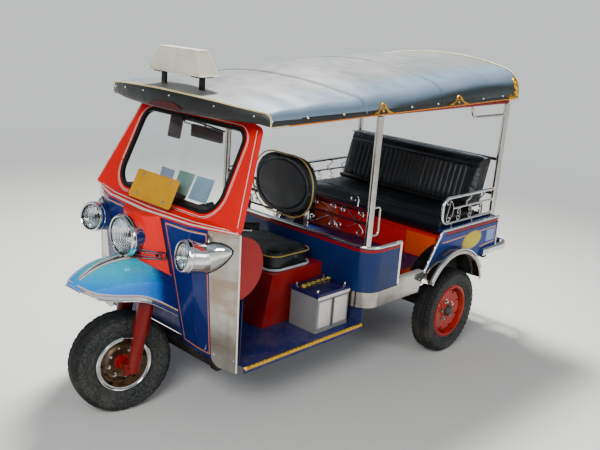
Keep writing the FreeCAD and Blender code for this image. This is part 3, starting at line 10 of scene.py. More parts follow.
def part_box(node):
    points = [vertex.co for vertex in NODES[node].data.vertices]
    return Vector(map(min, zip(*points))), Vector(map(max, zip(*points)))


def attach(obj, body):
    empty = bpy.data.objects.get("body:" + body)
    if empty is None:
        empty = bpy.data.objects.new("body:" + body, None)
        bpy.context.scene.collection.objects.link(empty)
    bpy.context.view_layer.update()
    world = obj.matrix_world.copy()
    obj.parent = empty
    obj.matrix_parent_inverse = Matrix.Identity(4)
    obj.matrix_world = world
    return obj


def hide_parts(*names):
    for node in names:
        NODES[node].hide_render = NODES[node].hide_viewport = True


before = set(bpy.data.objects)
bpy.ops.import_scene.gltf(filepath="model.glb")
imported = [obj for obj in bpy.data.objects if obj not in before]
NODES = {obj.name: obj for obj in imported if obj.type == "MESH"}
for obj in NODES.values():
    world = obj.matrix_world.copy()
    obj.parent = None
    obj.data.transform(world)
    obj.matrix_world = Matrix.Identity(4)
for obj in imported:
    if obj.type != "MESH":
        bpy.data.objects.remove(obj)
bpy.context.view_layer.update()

# Driving sizes of the solids, in metres. +X is the left side, -Y the front.
FRONT_AXLE_Y = -1.218
REAR_AXLE_Y = 0.775
FRONT_TYRE_R = 0.260
REAR_TYRE_R = 0.272
TYRE_W = 0.130
REAR_HUB_X = 0.635
SCREEN_RAKE = math.radians(25.6)
STEER_RAKE = math.radians(12)
STEER_AT_REST = math.radians(13.4)
BELTLINE_Z = 1.050
SHIELD_FOOT_Z = 0.370
LIFT = 0.0007


# Colours and materials

def rgb(code):
    """Linear colour of an #RRGGBB code."""
    parts = [int(code[i:i + 2], 16) / 255 for i in (1, 3, 5)]
    return tuple(c / 12.92 if c <= 0.04045 else ((c + 0.055) / 1.055) ** 2.4 for c in parts) + (1,)


def shade(code, factor):
    return tuple(min(1, c * factor) for c in rgb(code)[:3]) + (1,)


class Nodes:
    """Adds and joins the shader nodes of one tree."""

    def __init__(self, tree):
        self.tree = tree

    def add(self, kind, *inputs, **options):
        node = self.tree.nodes.new(kind)
        for label, value in options.items():
            setattr(node, label, value)
        for socket, value in zip(node.inputs, inputs):
            if value is not None:
                self.feed(socket, value)
        return node

    def feed(self, socket, value):
        if isinstance(value, bpy.types.NodeSocket):
            self.tree.links.new(value, socket)
        else:
            socket.default_value = value

    def math(self, kind, first, second=0.0):
        return self.add("ShaderNodeMath", first, second, operation=kind).outputs[0]

    def backdrop_rays(self):
        """1 for the rays that show the backdrop, 0 for those that only carry light."""
        seen = self.add("ShaderNodeLightPath").outputs
        shown = self.math("MAXIMUM", seen["Is Camera Ray"], seen["Is Glossy Ray"])
        return self.math("MAXIMUM", shown, seen["Is Transmission Ray"])


class Look(Nodes):
    """A node material round one Principled shader, painted in metres of the object."""

    def __init__(self, name, **settings):
        self.material = bpy.data.materials.new(name)
        self.material.use_nodes = True
        super().__init__(self.material.node_tree)
        self.surface = self.tree.nodes["Principled BSDF"]
        self.place = self.add("ShaderNodeTexCoord").outputs["Object"]
        self.heights = []
        for label, value in settings.items():
            self.set(label, value)

    def set(self, label, value):
        self.feed(self.surface.inputs[label.replace("_", " ")], value)

    def noise(self, scale, detail=3, stretch=None):
        place = self.place
        if stretch:
            place = self.add("ShaderNodeMapping", self.place, None, None, stretch).outputs[0]
        node = self.add("ShaderNodeTexNoise", place)
        node.inputs["Scale"].default_value = scale
        node.inputs["Detail"].default_value = detail
        return node.outputs[0]

    def cells(self, scale):
        node = self.add("ShaderNodeTexVoronoi", self.place)
        node.inputs["Scale"].default_value = scale
        return node.outputs[0]

    def axis(self, index):
        return self.add("ShaderNodeSeparateXYZ", self.place).outputs[index]

    def between(self, value, low, high, start=0.0, end=1.0):
        return self.add("ShaderNodeMapRange", value, low, high, start, end,
                        interpolation_type="SMOOTHSTEP").outputs[0]

    def patches(self, scale, detail, low, high, start=0.0, end=1.0):
        """Soft patches: start where the noise is under low, end where it is over high."""
        return self.between(self.noise(scale, detail), low, high, start, end)

    def mix(self, share, first, second):
        node = self.add("ShaderNodeMix", data_type="RGBA")
        self.feed(node.inputs[0], share)
        self.feed(node.inputs[6], first)
        self.feed(node.inputs[7], second)
        return node.outputs[2]

    def bump(self, height, depth, strength):
        """Adds relief of a depth in metres."""
        node = self.add("ShaderNodeBump")
        node.inputs["Strength"].default_value = strength
        node.inputs["Distance"].default_value = depth
        self.feed(node.inputs["Height"], height)
        if self.heights:
            self.tree.links.new(self.heights[-1], node.inputs["Normal"])
        self.heights.append(node.outputs[0])
        self.set("Normal", node.outputs[0])


DUST = rgb("#9A9184")


def dusty(look, colour, amount, low=0.25, high=0.85):
    """Road dust, thicker low down."""
    fall = look.between(look.axis(2), low, high, 1.0, 0.12)
    patches = look.patches(7, 6, 0.38, 0.72)
    share = look.math("MULTIPLY", look.math("MULTIPLY", fall, patches), amount)
    return look.mix(share, colour, DUST)


def paint(name, code, deep, flake=0.0, dust=0.3, roughness=0.3):
    look = Look(name, Metallic=flake, Specular_IOR_Level=0.10, Coat_Weight=0.32, Coat_Roughness=0.03)
    broad = look.patches(3.2, 4, 0.3, 0.7)
    colour = look.mix(broad, shade(code, deep), rgb(code))
    if flake:
        sparkle = look.between(look.cells(2600), 0.1, 0.6)
        colour = look.mix(look.math("MULTIPLY", sparkle, 0.35), colour, shade(code, 1.7))
    look.set("Base_Color", dusty(look, colour, dust))
    look.set("Roughness", look.patches(18, 5, 0.3, 0.75, roughness, roughness + 0.22))
    look.bump(look.noise(420, 2), 0.0001, 0.3)
    look.bump(look.noise(5, 3), 0.0012, 0.2)
    return look.material


def metal(name, code, roughness, smudge, pitting=0.0, dust=0.2):
    look = Look(name, Metallic=1.0)
    stain = look.patches(11, 6, 0.42, 0.78)
    colour = look.mix(look.math("MULTIPLY", stain, 0.5), rgb(code), shade(code, 0.55))
    look.set("Base_Color", dusty(look, colour, dust))
    look.set("Roughness", look.patches(26, 6, 0.35, 0.8, roughness, roughness + smudge))
    look.bump(look.noise(38, 4), 0.0006, 0.16)
    if pitting:
        look.bump(look.cells(160), 0.0003, pitting)
    return look.material


def polished_sheet(name, code, warm):
    """Thin stainless sheet with painted reflections: warm and cool tones and darker streaks laid into its
    colour along slight waves.
    """
    look = Look(name, Metallic=1.0)
    # Painted reflection: patches of the warm colour and darker streaks stand in for what the polished sheet
    # reflects.
    painted_warm_reflection = look.between(look.noise(2.6, 3, (1, 1, 3.2)), 0.42, 0.62)
    painted_dark_streak = look.between(look.noise(13, 4, (1, 1, 0.25)), 0.45, 0.7)
    colour = look.mix(look.math("MULTIPLY", painted_warm_reflection, 0.75), rgb(code), rgb(warm))
    colour = look.mix(look.math("MULTIPLY", painted_dark_streak, 0.35), colour, shade(warm, 0.55))
    look.set("Base_Color", dusty(look, colour, 0.2))
    look.set("Roughness", look.patches(30, 6, 0.35, 0.8, 0.06, 0.22))
    look.bump(look.noise(4.5, 3), 0.010, 0.35)
    look.bump(look.noise(60, 4), 0.0004, 0.15)
    return look.material


def vinyl(name, code, worn, roughness, grain, dust=0.1):
    look = Look(name, Specular_IOR_Level=0.42, Coat_Weight=0.06, Coat_Roughness=0.25)
    broad = look.patches(5, 5, 0.35, 0.7)
    colour = look.mix(broad, rgb(code), rgb(worn))
    look.set("Base_Color", dusty(look, colour, dust))
    look.set("Roughness", look.patches(14, 5, 0.3, 0.75, roughness, roughness + 0.2))
    look.bump(look.noise(9, 5), 0.004, 0.22)
    look.bump(look.cells(grain), 0.00045, 0.5)
    look.bump(look.noise(60, 4), 0.0008, 0.3)
    return look.material


def roof_cloth(name):
    """Taut roof vinyl: warm grey on top, a painted sky reflection in cool grey down the flank, and painted
    shade darker low at the rear.
    """
    look = Look(name, Specular_IOR_Level=0.4, Coat_Weight=0.08, Coat_Roughness=0.3)
    # Painted reflection: the flank turns cool blue-grey as if it reflected the sky.
    across = look.math("ABSOLUTE", look.axis(0))
    flank = look.between(across, 0.36, 0.50)
    colour = look.mix(flank, rgb("#7E8180"), rgb("#71879A"))
    # Painted shade: low on the rear half the vinyl turns nearly black, and that line rises towards the rear.
    rear = look.between(look.axis(1), -0.12, 1.1, 0.0, 0.085)
    level = look.math("SUBTRACT", look.axis(2), rear)
    low = look.between(level, 1.585, 1.625, 1.0, 0.0)
    painted_shade_rearward = look.between(look.axis(1), -0.14, 0.10)
    colour = look.mix(look.math("MULTIPLY", low, painted_shade_rearward), colour, rgb("#2B3436"))
    stain = look.math("MULTIPLY", look.patches(2.2, 5, 0.45, 0.75), 0.35)
    colour = look.mix(stain, colour, rgb("#5C686F"))
    look.set("Base_Color", colour)
    look.set("Roughness", look.patches(12, 5, 0.3, 0.75, 0.34, 0.5))
    look.bump(look.noise(3, 4, (1, 2.5, 1)), 0.006, 0.25)
    look.bump(look.cells(900), 0.0004, 0.4)
    return look.material


def fender_paint(name):
    """Glossy blue with painted light: a painted sky reflection lightens it to cyan on the crown, and painted
    shade turns it dark navy towards the rear.
    """
    look = Look(name, Metallic=0.15, Specular_IOR_Level=0.2, Coat_Weight=0.6, Coat_Roughness=0.02)
    # Painted reflection: cyan on the crown.
    high = look.between(look.axis(2), 0.70, 0.815)
    colour = look.mix(high, rgb("#087EEE"), rgb("#2ADCFC"))
    # Painted shade: dark navy towards the rear of the fender.
    painted_shade_rearward = look.between(look.axis(1), -1.155, -1.085)
    colour = look.mix(painted_shade_rearward, colour, rgb("#0A2070"))
    look.set("Base_Color", dusty(look, colour, 0.03))
    look.set("Roughness", look.patches(18, 5, 0.3, 0.75, 0.22, 0.35))
    look.bump(look.noise(420, 2), 0.0001, 0.3)
    return look.material


def rubber(name, code, chalk, share, roughness=0.7):
    look = Look(name, Specular_IOR_Level=0.22)
    worn = look.math("MULTIPLY", look.patches(90, 6, 0.3, 0.75), share)
    colour = look.mix(worn, rgb(code), rgb(chalk))
    look.set("Base_Color", dusty(look, colour, 0.14, 0.0, 0.5))
    look.set("Roughness", look.patches(40, 4, 0.3, 0.7, roughness, min(1, roughness + 0.2)))
    look.bump(look.noise(320, 4), 0.0005, 0.4)
    return look.material


def plastic(name, code, roughness, dust):
    look = Look(name, Specular_IOR_Level=0.3)
    colour = look.mix(look.patches(9, 5, 0.35, 0.75), rgb(code), shade(code, 0.86))
    look.set("Base_Color", dusty(look, colour, dust, 0.2, 2.2))
    look.set("Roughness", look.patches(30, 4, 0.3, 0.7, roughness, roughness + 0.15))
    look.bump(look.noise(700, 3), 0.0003, 0.3)
    return look.material


def glass(name, code, roughness, flute=0):
    look = Look(name, Transmission_Weight=1.0, IOR=1.45)
    haze = look.patches(9, 5, 0.45, 0.8)
    look.set("Base_Color", look.mix(haze, rgb(code), shade(code, 0.93)))
    look.set("Roughness", look.math("ADD", look.math("MULTIPLY", haze, 0.03), roughness))
    if flute:
        wave = look.add("ShaderNodeTexWave", look.place, wave_type="BANDS", bands_direction="X")
        wave.inputs["Scale"].default_value = flute
        look.bump(wave.outputs[1], 0.0012, 0.8)
    return look.material


def tread_plate(name, code):
    look = Look(name, Metallic=0.25, Specular_IOR_Level=0.3, Coat_Weight=0.2, Coat_Roughness=0.2)
    worn = look.patches(22, 6, 0.5, 0.75)
    colour = look.mix(look.math("MULTIPLY", worn, 0.35), rgb(code), rgb("#4D5878"))
    look.set("Base_Color", dusty(look, colour, 0.15, 0.2, 1.2))
    look.set("Roughness", look.patches(30, 4, 0.3, 0.7, 0.32, 0.6))
    look.bump(look.noise(200, 3), 0.0004, 0.4)
    return look.material


RED = paint("red_enamel", "#F60D05", 0.86, dust=0.015)
COVER_RED = paint("engine_cover_red", "#A20F14", 0.7, dust=0.08)
WHEEL_RED = paint("wheel_red", "#B8200F", 0.7, dust=0.14)
# The fork's red is darker than the other reds: painted shade.
FORK_RED_IN_PAINTED_SHADE = paint("fork_red_painted_shade", "#7C0C08", 0.72, dust=0.05)
DARK_RED = paint("dark_red_enamel", "#960A0E", 0.75, dust=0.03)
MAROON = paint("maroon_enamel", "#4A0D16", 0.75, dust=0.1)
# Orange standing in for sunlight on the bench box's red front: painted light.
SUNLIT_BENCH_RED = paint("bench_painted_sunlight", "#FF5820", 0.88, dust=0.03)
BLUE = paint("blue_metallic", "#08236E", 0.45, flake=0.25, dust=0.012)
FENDER_BLUE = fender_paint("fender_blue")
BODY_BLUE = paint("body_blue", "#07265A", 0.6, flake=0.1, dust=0.015)
QUARTER_BLUE = paint("quarter_blue", "#1A3780", 0.65, flake=0.15, dust=0.09)
NAVY = paint("navy_line", "#141B45", 0.8, dust=0.08)
BLACK = paint("black_enamel", "#101113", 0.7, dust=0.22, roughness=0.4)
WHITE_LINE = paint("white_line", "#F4EFE6", 0.95, dust=0.1)
ORANGE_LINE = paint("orange_line", "#EE8712", 0.94, dust=0.03)
YELLOW_LINE = paint("yellow_line", "#EBB41A", 0.9, dust=0.08)
SILVER_BLUE = paint("silver_blue", "#7F97C4", 0.7, flake=0.3, dust=0.1)
# Pale white for the battery's blank labels, and on the sill tops a painted reflection: the shine of their
# polished metal in the sun.
PALE_LABELS_AND_SILL_SHINE = paint("pale_labels_and_painted_sill_reflection", "#E2DDD6", 0.9, dust=0.12)
CHROME = metal("chrome", "#E6E5E2", 0.05, 0.14, dust=0.06)
STEEL = metal("polished_steel", "#D2CEC6", 0.1, 0.2, dust=0.12)
# Its second, warm colour is a painted reflection.
SHEET = polished_sheet("polished_sheet", "#AEAAA3", "#8B7563")
BRONZE = metal("bronze_disc", "#5C4430", 0.35, 0.3, dust=0.3)
DARK_CHROME = metal("dark_chrome", "#4A5058", 0.08, 0.15, dust=0.05)
GOLD = metal("gold_casting", "#E0A93A", 0.28, 0.25, 0.3, dust=0.1)
CAST = metal("cast_alloy", "#6F6E6A", 0.5, 0.25, 0.6, dust=0.7)
EXHAUST = metal("rusty_exhaust", "#6A4A38", 0.6, 0.25, 0.5, dust=0.6)
ROOF = roof_cloth("roof_vinyl")
ROOF_DARK = vinyl("roof_band_vinyl", "#0C0E0F", "#15181A", 0.36, 900)
LINING = vinyl("roof_lining", "#1B1413", "#241A19", 0.7, 500, dust=0.05)
SEAT = vinyl("seat_vinyl", "#080C11", "#101922", 0.32, 1300)
PIPING_CREAM = vinyl("cream_piping", "#E6D9A8", "#CDBB85", 0.4, 900)
PIPING_GOLD = vinyl("gold_piping", "#A48A3A", "#C7AE5E", 0.4, 900)
PIPING_PALE = vinyl("pale_piping", "#A9B9C4", "#C6D0D6", 0.35, 900)
RUBBER = rubber("black_rubber", "#0C0D0E", "#2A2A29", 0.3, 0.4)
TREAD = rubber("tyre_tread", "#131415", "#3B3C3A", 0.5)
SIDEWALL = rubber("tyre_sidewall", "#1C1F1F", "#5A5D5A", 0.5, 0.55)
CREAM = plastic("cream_plastic", "#E9E3CF", 0.35, 0.25)
PLATE = plastic("yellow_plate", "#D79C12", 0.38, 0.04)
WHITE_CASE = plastic("white_case", "#828486", 0.4, 0.25)
BLUE_LID = plastic("blue_lid", "#17134F", 0.3, 0.08)
YELLOW_CAP = plastic("yellow_cap", "#B9A526", 0.4, 0.3)
BLACK_PLASTIC = plastic("black_plastic", "#1A1B1D", 0.45, 0.2)
MAROON_PLASTIC = plastic("maroon_plastic", "#3A1518", 0.3, 0.1)
CARD_LILAC = plastic("card_lilac", "#B9BEE4", 0.5, 0.05)
CARD_GREEN = plastic("card_green", "#A9CFC4", 0.5, 0.05)
CARD_BLUE = plastic("card_blue", "#A9CDE6", 0.5, 0.05)
RED_PLASTIC = plastic("tail_lens", "#B00D0C", 0.18, 0.1)
AMBER_PLASTIC = plastic("amber_lens", "#E5760C", 0.18, 0.1)
OVAL_YELLOW = paint("oval_yellow", "#E8D22A", 0.82, dust=0.15)
SCREEN = glass("screen_glass", "#F3F8F7", 0.0)
LENS = glass("lamp_glass", "#F7F9FA", 0.02, flute=22)
MIRROR = metal("mirror_glass", "#E8ECEE", 0.02, 0.05, dust=0.05)
FLOOR_PLATE = tread_plate("floor_plate", "#11256C")

NODE_LOOKS = {
    "chassis_frame": BLACK, "front_bulkhead": BODY_BLUE, "quarter_panels": QUARTER_BLUE,
    "rear_panel": QUARTER_BLUE, "leg_shields": BLUE, "nose_centre": RED, "windscreen_surround": RED,
    "shield_strips": SHEET, "sill_skirts": SHEET, "knee_guards": DARK_RED, "front_fender": FENDER_BLUE,
    "front_fork": FORK_RED_IN_PAINTED_SHADE, "handlebar": CHROME, "headlamp_shells": CHROME, "windscreen_gasket": RUBBER,
    "windscreen_glass": SCREEN, "dashboard": BLACK_PLASTIC, "number_plate": PLATE,
    "interior_mirror": MAROON_PLASTIC, "cab_floor": FLOOR_PLATE, "passenger_floor": FLOOR_PLATE,
    "engine_cover": COVER_RED, "engine": CAST, "exhaust": EXHAUST, "leaf_springs": BLACK, "rear_axle": BLACK,
    "battery": WHITE_CASE, "bulkhead_rail": CHROME, "partition_rail": CHROME, "side_scroll_rails": CHROME,
    "roof_posts": STEEL, "roof_frame": DARK_RED, "roof_sign": CREAM, "roof_sign_legs": BLACK,
    "rear_fenders": SHEET, "wheel_housings": BLACK, "rear_bumper": CHROME, "tail_lamps": RED_PLASTIC,
    "bench_box": RED, "rear_rim_left": WHEEL_RED, "rear_rim_right": WHEEL_RED,
}
for node_name, look_material in NODE_LOOKS.items():
    for material_slot in NODES[node_name].material_slots:
        material_slot.material = look_material


# Shapes

def spread(start, stop, parts):
    """Even values from start to stop, with both ends."""
    return [start + (stop - start) * k / parts for k in range(parts + 1)]


def angles(count):
    """Even angles round a full turn."""
    return [2 * math.pi * k / count for k in range(count)]


def flipped(p, side=-1):
    """Point of the left side, moved to the right side when side is -1."""
    return Vector((side * p.x, p.y, p.z))


def both_ways(line):
    return line, [flipped(p) for p in line]


class Pile:
    """Collects small forms into one mesh."""

    def __init__(self):
        self.points = []
        self.faces = []
        self.looks = []

    def add(self, points, faces, look=0):
        """look is one number for all faces, or a list that repeats along them."""
        first = len(self.points)
        self.points += [Vector(p) for p in points]
        self.faces += [[first + i for i in face] for face in faces]
        looks = look if isinstance(look, list) else [look]
        self.looks += looks * (len(faces) // len(looks))

    def grid(self, rows, look, loop=False, wrap=False):
        """Quads between rows of points. loop closes each row, wrap joins the last row to the first."""
        count = len(rows[0])
        faces = []
        for r in range(len(rows) if wrap else len(rows) - 1):
            n = (r + 1) % len(rows)
            for c in range(count if loop else count - 1):
                d = (c + 1) % count
                faces.append((r * count + c, r * count + d, n * count + d, n * count + c))
        self.add([p for row in rows for p in row], faces, look)

    def lathe(self, profile, base, axis, look, steps):
        """Turned form: profile of (radius, distance along the axis from base)."""
        axis = Vector(axis).normalized()
        side = axis.orthogonal().normalized()
        other = axis.cross(side)
        rows = []
        for radius, along in profile:
            rows.append([Vector(base) + axis * along + (side * math.cos(t) + other * math.sin(t)) * radius
                         for t in angles(steps)])
        self.grid(rows, look, loop=True)

    def tube(self, path, radius, look, sides, closed=False):
        path = [Vector(p) for p in path]
        last = len(path) - 1
        normal = None
        rows = []
        for i, p in enumerate(path):
            if closed:
                ahead = path[(i + 1) % (last + 1)] - path[i - 1]
            else:
                ahead = path[min(i + 1, last)] - path[max(i - 1, 0)]
            ahead.normalize()
            if normal is None:
                normal = ahead.orthogonal()
            normal = (normal - ahead * normal.dot(ahead)).normalized()
            side = ahead.cross(normal)
            rows.append([p + (normal * math.cos(t) + side * math.sin(t)) * radius for t in angles(sides)])
        self.grid(rows, look, loop=True, wrap=closed)
        if not closed:
            self.add(rows[0], [list(range(sides))[::-1]], look)
            self.add(rows[-1], [list(range(sides))], look)

    def block(self, low, high, look, edge, turn=None):
        """Box with rounded edges. turn is a matrix applied to its corners."""
        low, high = Vector(low), Vector(high)
        bm = bmesh.new()
        bmesh.ops.create_cube(bm, size=1)
        size = high - low
        for v in bm.verts:
            v.co = Vector(v.co[i] * size[i] for i in range(3)) + (low + high) / 2
        bmesh.ops.bevel(bm, geom=bm.edges[:], offset=edge, segments=2, affect="EDGES", profile=0.5)
        bm.verts.index_update()
        points = [turn @ v.co if turn else v.co.copy() for v in bm.verts]
        self.add(points, [[v.index for v in f.verts] for f in bm.faces], look)
        bm.free()

    def dome(self, centre, out, radius, height, look=0, steps=16):
        rings = [(radius * math.cos(a), height * math.sin(a)) for a in (0, 0.35, 0.7, 1.05, 1.4)]
        self.lathe([(radius, -0.001)] + rings + [(0, height)], centre, out, look, steps)

    def bolt(self, centre, out, radius, height, look=0):
        """Hexagon head on a washer."""
        self.lathe([(0, -0.001), (radius * 1.5, -0.001), (radius * 1.5, 0.0012), (radius, 0.0012)],
                   centre, out, look, 20)
        self.lathe([(radius, 0.0), (radius, height * 0.8), (radius * 0.8, height), (0, height)],
                   centre, out, look, 6)

    def made(self, name, body, looks, sharp=38):
        mesh = bpy.data.meshes.new(name)
        mesh.from_pydata([tuple(p) for p in self.points], [], self.faces)
        for look in looks:
            mesh.materials.append(look)
        mesh.polygons.foreach_set("material_index", self.looks)
        bm = bmesh.new()
        bm.from_mesh(mesh)
        bmesh.ops.remove_doubles(bm, verts=bm.verts, dist=1e-6)
        bmesh.ops.recalc_face_normals(bm, faces=bm.faces)
        bm.to_mesh(mesh)
        bm.free()
        mesh.polygons.foreach_set("use_smooth", [True] * len(mesh.polygons))
        mesh.set_sharp_from_angle(angle=math.radians(sharp))
        piece = bpy.data.objects.new(name, mesh)
        bpy.context.scene.collection.objects.link(piece)
        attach(piece, body)
        return piece


def smooth_path(points, step=0.006):
    """Even points on a curve through a few points."""
    points = [Vector(p) for p in points]
    last = len(points) - 1
    line = []
    for i in range(last):
        p0, p1, p2, p3 = (points[min(max(i + k, 0), last)] for k in (-1, 0, 1, 2))
        parts = max(2, round((p2 - p1).length / step))
        for k in range(parts):
            t = k / parts
            line.append(0.5 * (2 * p1 + (p2 - p0) * t + (2 * p0 - 5 * p1 + 4 * p2 - p3) * t * t
                               + (3 * p1 - p0 - 3 * p2 + p3) * t ** 3))
    return line + [points[-1]]


def straight_path(points, step=0.006):
    """Even points on the straight runs between corners."""
    points = [Vector(p) for p in points]
    line = []
    for a, b in zip(points, points[1:]):
        parts = max(1, round((b - a).length / step))
        line += [a.lerp(b, k / parts) for k in range(parts)]
    return line + [points[-1]]


def rounded(corners, radii, steps, closed=True):
    """Corner points joined by straight runs with an arc at each corner."""
    corners = [Vector(c) for c in corners]
    count = len(corners)
    line = []
    for i, (corner, radius) in enumerate(zip(corners, radii)):
        if radius == 0 or not closed and i in (0, count - 1):
            line.append(corner)
            continue
        before = (corners[i - 1] - corner).normalized()
        after = (corners[(i + 1) % count] - corner).normalized()
        half = before.angle(after) / 2
        centre = corner + (before + after).normalized() * radius / math.sin(half)
        start = corner + before * radius / math.tan(half) - centre
        end = corner + after * radius / math.tan(half) - centre
        line += [centre + start.slerp(end, k / steps) * radius for k in range(steps + 1)]
    return line


SURFACES = {}


def surface_of(node):
    if node not in SURFACES:
        mesh = NODES[node].data
        faces = [p.vertices for p in mesh.polygons]
        SURFACES[node] = BVHTree.FromPolygons([v.co for v in mesh.vertices], faces)
    return SURFACES[node]


def on_face(node, point, toward, lift):
    """Point on a node's outer face, seen from the way that toward points."""
    toward = Vector(toward).normalized()
    hit, normal, _, _ = surface_of(node).ray_cast(Vector(point) + toward * 0.09, -toward, 0.2)
    if hit is None:
        hit, normal, _, _ = surface_of(node).find_nearest(Vector(point))
    if normal.dot(toward) < 0:
        normal = -normal
    return hit + normal * lift


def ribbon(pile, node, line, width, toward, look=0, lift=LIFT):
    """Painted line on a node's face. width and toward may be functions of the place along it."""
    rows = []
    last = len(line) - 1
    for i, p in enumerate(line):
        out = Vector(toward(p) if callable(toward) else toward).normalized()
        across = (line[min(i + 1, last)] - line[max(i - 1, 0)]).cross(out).normalized()
        wide = width(i / last) if callable(width) else width
        rows.append([on_face(node, p + across * wide * s, out, lift) for s in (-0.5, -0.17, 0.17, 0.5)])
    pile.grid(rows, look)


def level_ring(half, y0, y1, z, radius, steps):
    """Rounded rectangle lying level, the same width to both sides."""
    return rounded([(-half, y0, z), (half, y0, z), (half, y1, z), (-half, y1, z)], [radius] * 4, steps)


def side_block(pile, side, x_range, y_range, z_range, look, edge):
    """Rounded box on one side of the vehicle, with x measured outward."""
    x0, x1 = sorted(side * x for x in x_range)
    pile.block((x0, y_range[0], z_range[0]), (x1, y_range[1], z_range[1]), look, edge)


def screen_point(x, up, out=0.0):
    """Point on the windscreen's plane: sideways, up its slope from the beltline, out from its face."""
    return Vector((x, FRONT_AXLE_Y + 0.218 + up * math.sin(SCREEN_RAKE) - out * math.cos(SCREEN_RAKE),
                   BELTLINE_Z + up * math.cos(SCREEN_RAKE) + out * math.sin(SCREEN_RAKE)))


SCREEN_OUT = Vector((0, -math.cos(SCREEN_RAKE), math.sin(SCREEN_RAKE)))


def shield(z):
    """Front line of the leg shield at one height: nose edge, crease, strip edge, outer edge."""
    a = FRONT_AXLE_Y
    t = (z - SHIELD_FOOT_Z) / (BELTLINE_Z - SHIELD_FOOT_Z)
    low = ((0.185, a + 0.250), (0.335, a + 0.232), (0.432, a + 0.232), (0.583, a + 0.262))
    high = ((0.150, a + 0.120), (0.335, a + 0.134), (0.440, a + 0.172), (0.583, a + 0.246))
    return [Vector((x0 + (x1 - x0) * t, y0 + (y1 - y0) * t, z))
            for (x0, y0), (x1, y1) in zip(low, high)]


STEERING_DIRECTION = Vector((0, math.sin(STEER_RAKE), math.cos(STEER_RAKE)))
STEERING_FOOT = Vector((0, FRONT_AXLE_Y + 0.022, FRONT_TYRE_R))
STEER_LIFT = 0.0010966
STEERED = (Matrix.Translation(STEERING_FOOT + STEERING_DIRECTION * STEER_LIFT)
           @ Matrix.Rotation(-STEER_AT_REST, 4, STEERING_DIRECTION)
           @ Matrix.Translation(-STEERING_FOOT))
FRONT_HUB = STEERED @ Vector((0, FRONT_AXLE_Y, FRONT_TYRE_R))
FRONT_WHEEL_AXIS = STEERED.to_3x3() @ Vector((1, 0, 0))


# Camera: solved from the photograph's straight edges

CAMERA_PLACE = Vector((3.015, -3.213, 2.053))
CAMERA_YAW = math.radians(-42.71)
CAMERA_PITCH = math.radians(15.93)
CAMERA_ROLL = math.radians(4.33)
FOCAL_PIXELS = 755.8
IMAGE_WIDTH = 600
SENSOR_WIDTH = 36


def make_camera():
    flat = math.cos(CAMERA_PITCH)
    ahead = Vector((math.sin(CAMERA_YAW) * flat, math.cos(CAMERA_YAW) * flat, -math.sin(CAMERA_PITCH)))
    level = Vector((math.cos(CAMERA_YAW), -math.sin(CAMERA_YAW), 0))
    upright = level.cross(ahead)
    right = level * math.cos(CAMERA_ROLL) + upright * math.sin(CAMERA_ROLL)
    up = upright * math.cos(CAMERA_ROLL) - level * math.sin(CAMERA_ROLL)
    data = bpy.data.cameras.new("camera")
    data.sensor_width = SENSOR_WIDTH
    data.lens = FOCAL_PIXELS * SENSOR_WIDTH / IMAGE_WIDTH
    camera = bpy.data.objects.new("camera", data)
    bpy.context.scene.collection.objects.link(camera)
    turn = Matrix((right, up, -ahead)).transposed().to_4x4()
    camera.matrix_world = Matrix.Translation(CAMERA_PLACE) @ turn
    bpy.context.scene.camera = camera


make_camera()


# Studio

def area_light(name, place, aim, size, power, colour):
    data = bpy.data.lights.new(name, "AREA")
    data.shape = "RECTANGLE"
    data.size, data.size_y = size
    data.energy = power
    data.color = colour
    lamp = bpy.data.objects.new(name, data)
    lamp.location = place
    lamp.rotation_euler = (Vector(aim) - Vector(place)).to_track_quat("-Z", "Y").to_euler()
    bpy.context.scene.collection.objects.link(lamp)


BACKDROP = "#E4E6E7"
FADE_START = 2.6
FADE_END = 8.5
FLOOR_REACH = 60
AMBIENT_COLOUR = (0.93, 0.96, 1.0, 1)
AMBIENT_STRENGTH = 0.26

# Sky seen in reflections: height and colour
SKY_STOPS = ((0.10, "#C9CED2"), (0.22, "#6C7378"), (0.40, "#8F9AA3"), (0.70, "#B9C8D4"))

# Lights: name, place, aim, size, watts, colour
LIGHTS = (
    ("key", (-1.5, 1.3, 5.5), (0, 0, 0.5), (0.9, 0.9), 700, (1, 0.985, 0.95)),
    ("front", (2.6, -4.6, 3.6), (0, -0.4, 0.8), (2.4, 1.6), 185, (1, 0.99, 0.97)),
    ("side", (5.2, 0.6, 2.4), (0.2, 0.2, 0.7), (2.6, 1.4), 60, (0.97, 0.98, 1)),
)


def fade_to_backdrop(look):
    """Far from the object, the floor shows the backdrop's own colour, so no horizon is seen."""
    flat = look.add("ShaderNodeVectorMath", look.place, operation="LENGTH").outputs["Value"]
    share = look.math("MULTIPLY", look.between(flat, FADE_START, FADE_END), look.backdrop_rays())
    glow = look.add("ShaderNodeEmission", rgb(BACKDROP), 1.0).outputs[0]
    blend = look.add("ShaderNodeMixShader", share, look.surface.outputs[0], glow)
    look.feed(look.tree.nodes["Material Output"].inputs["Surface"], blend.outputs[0])


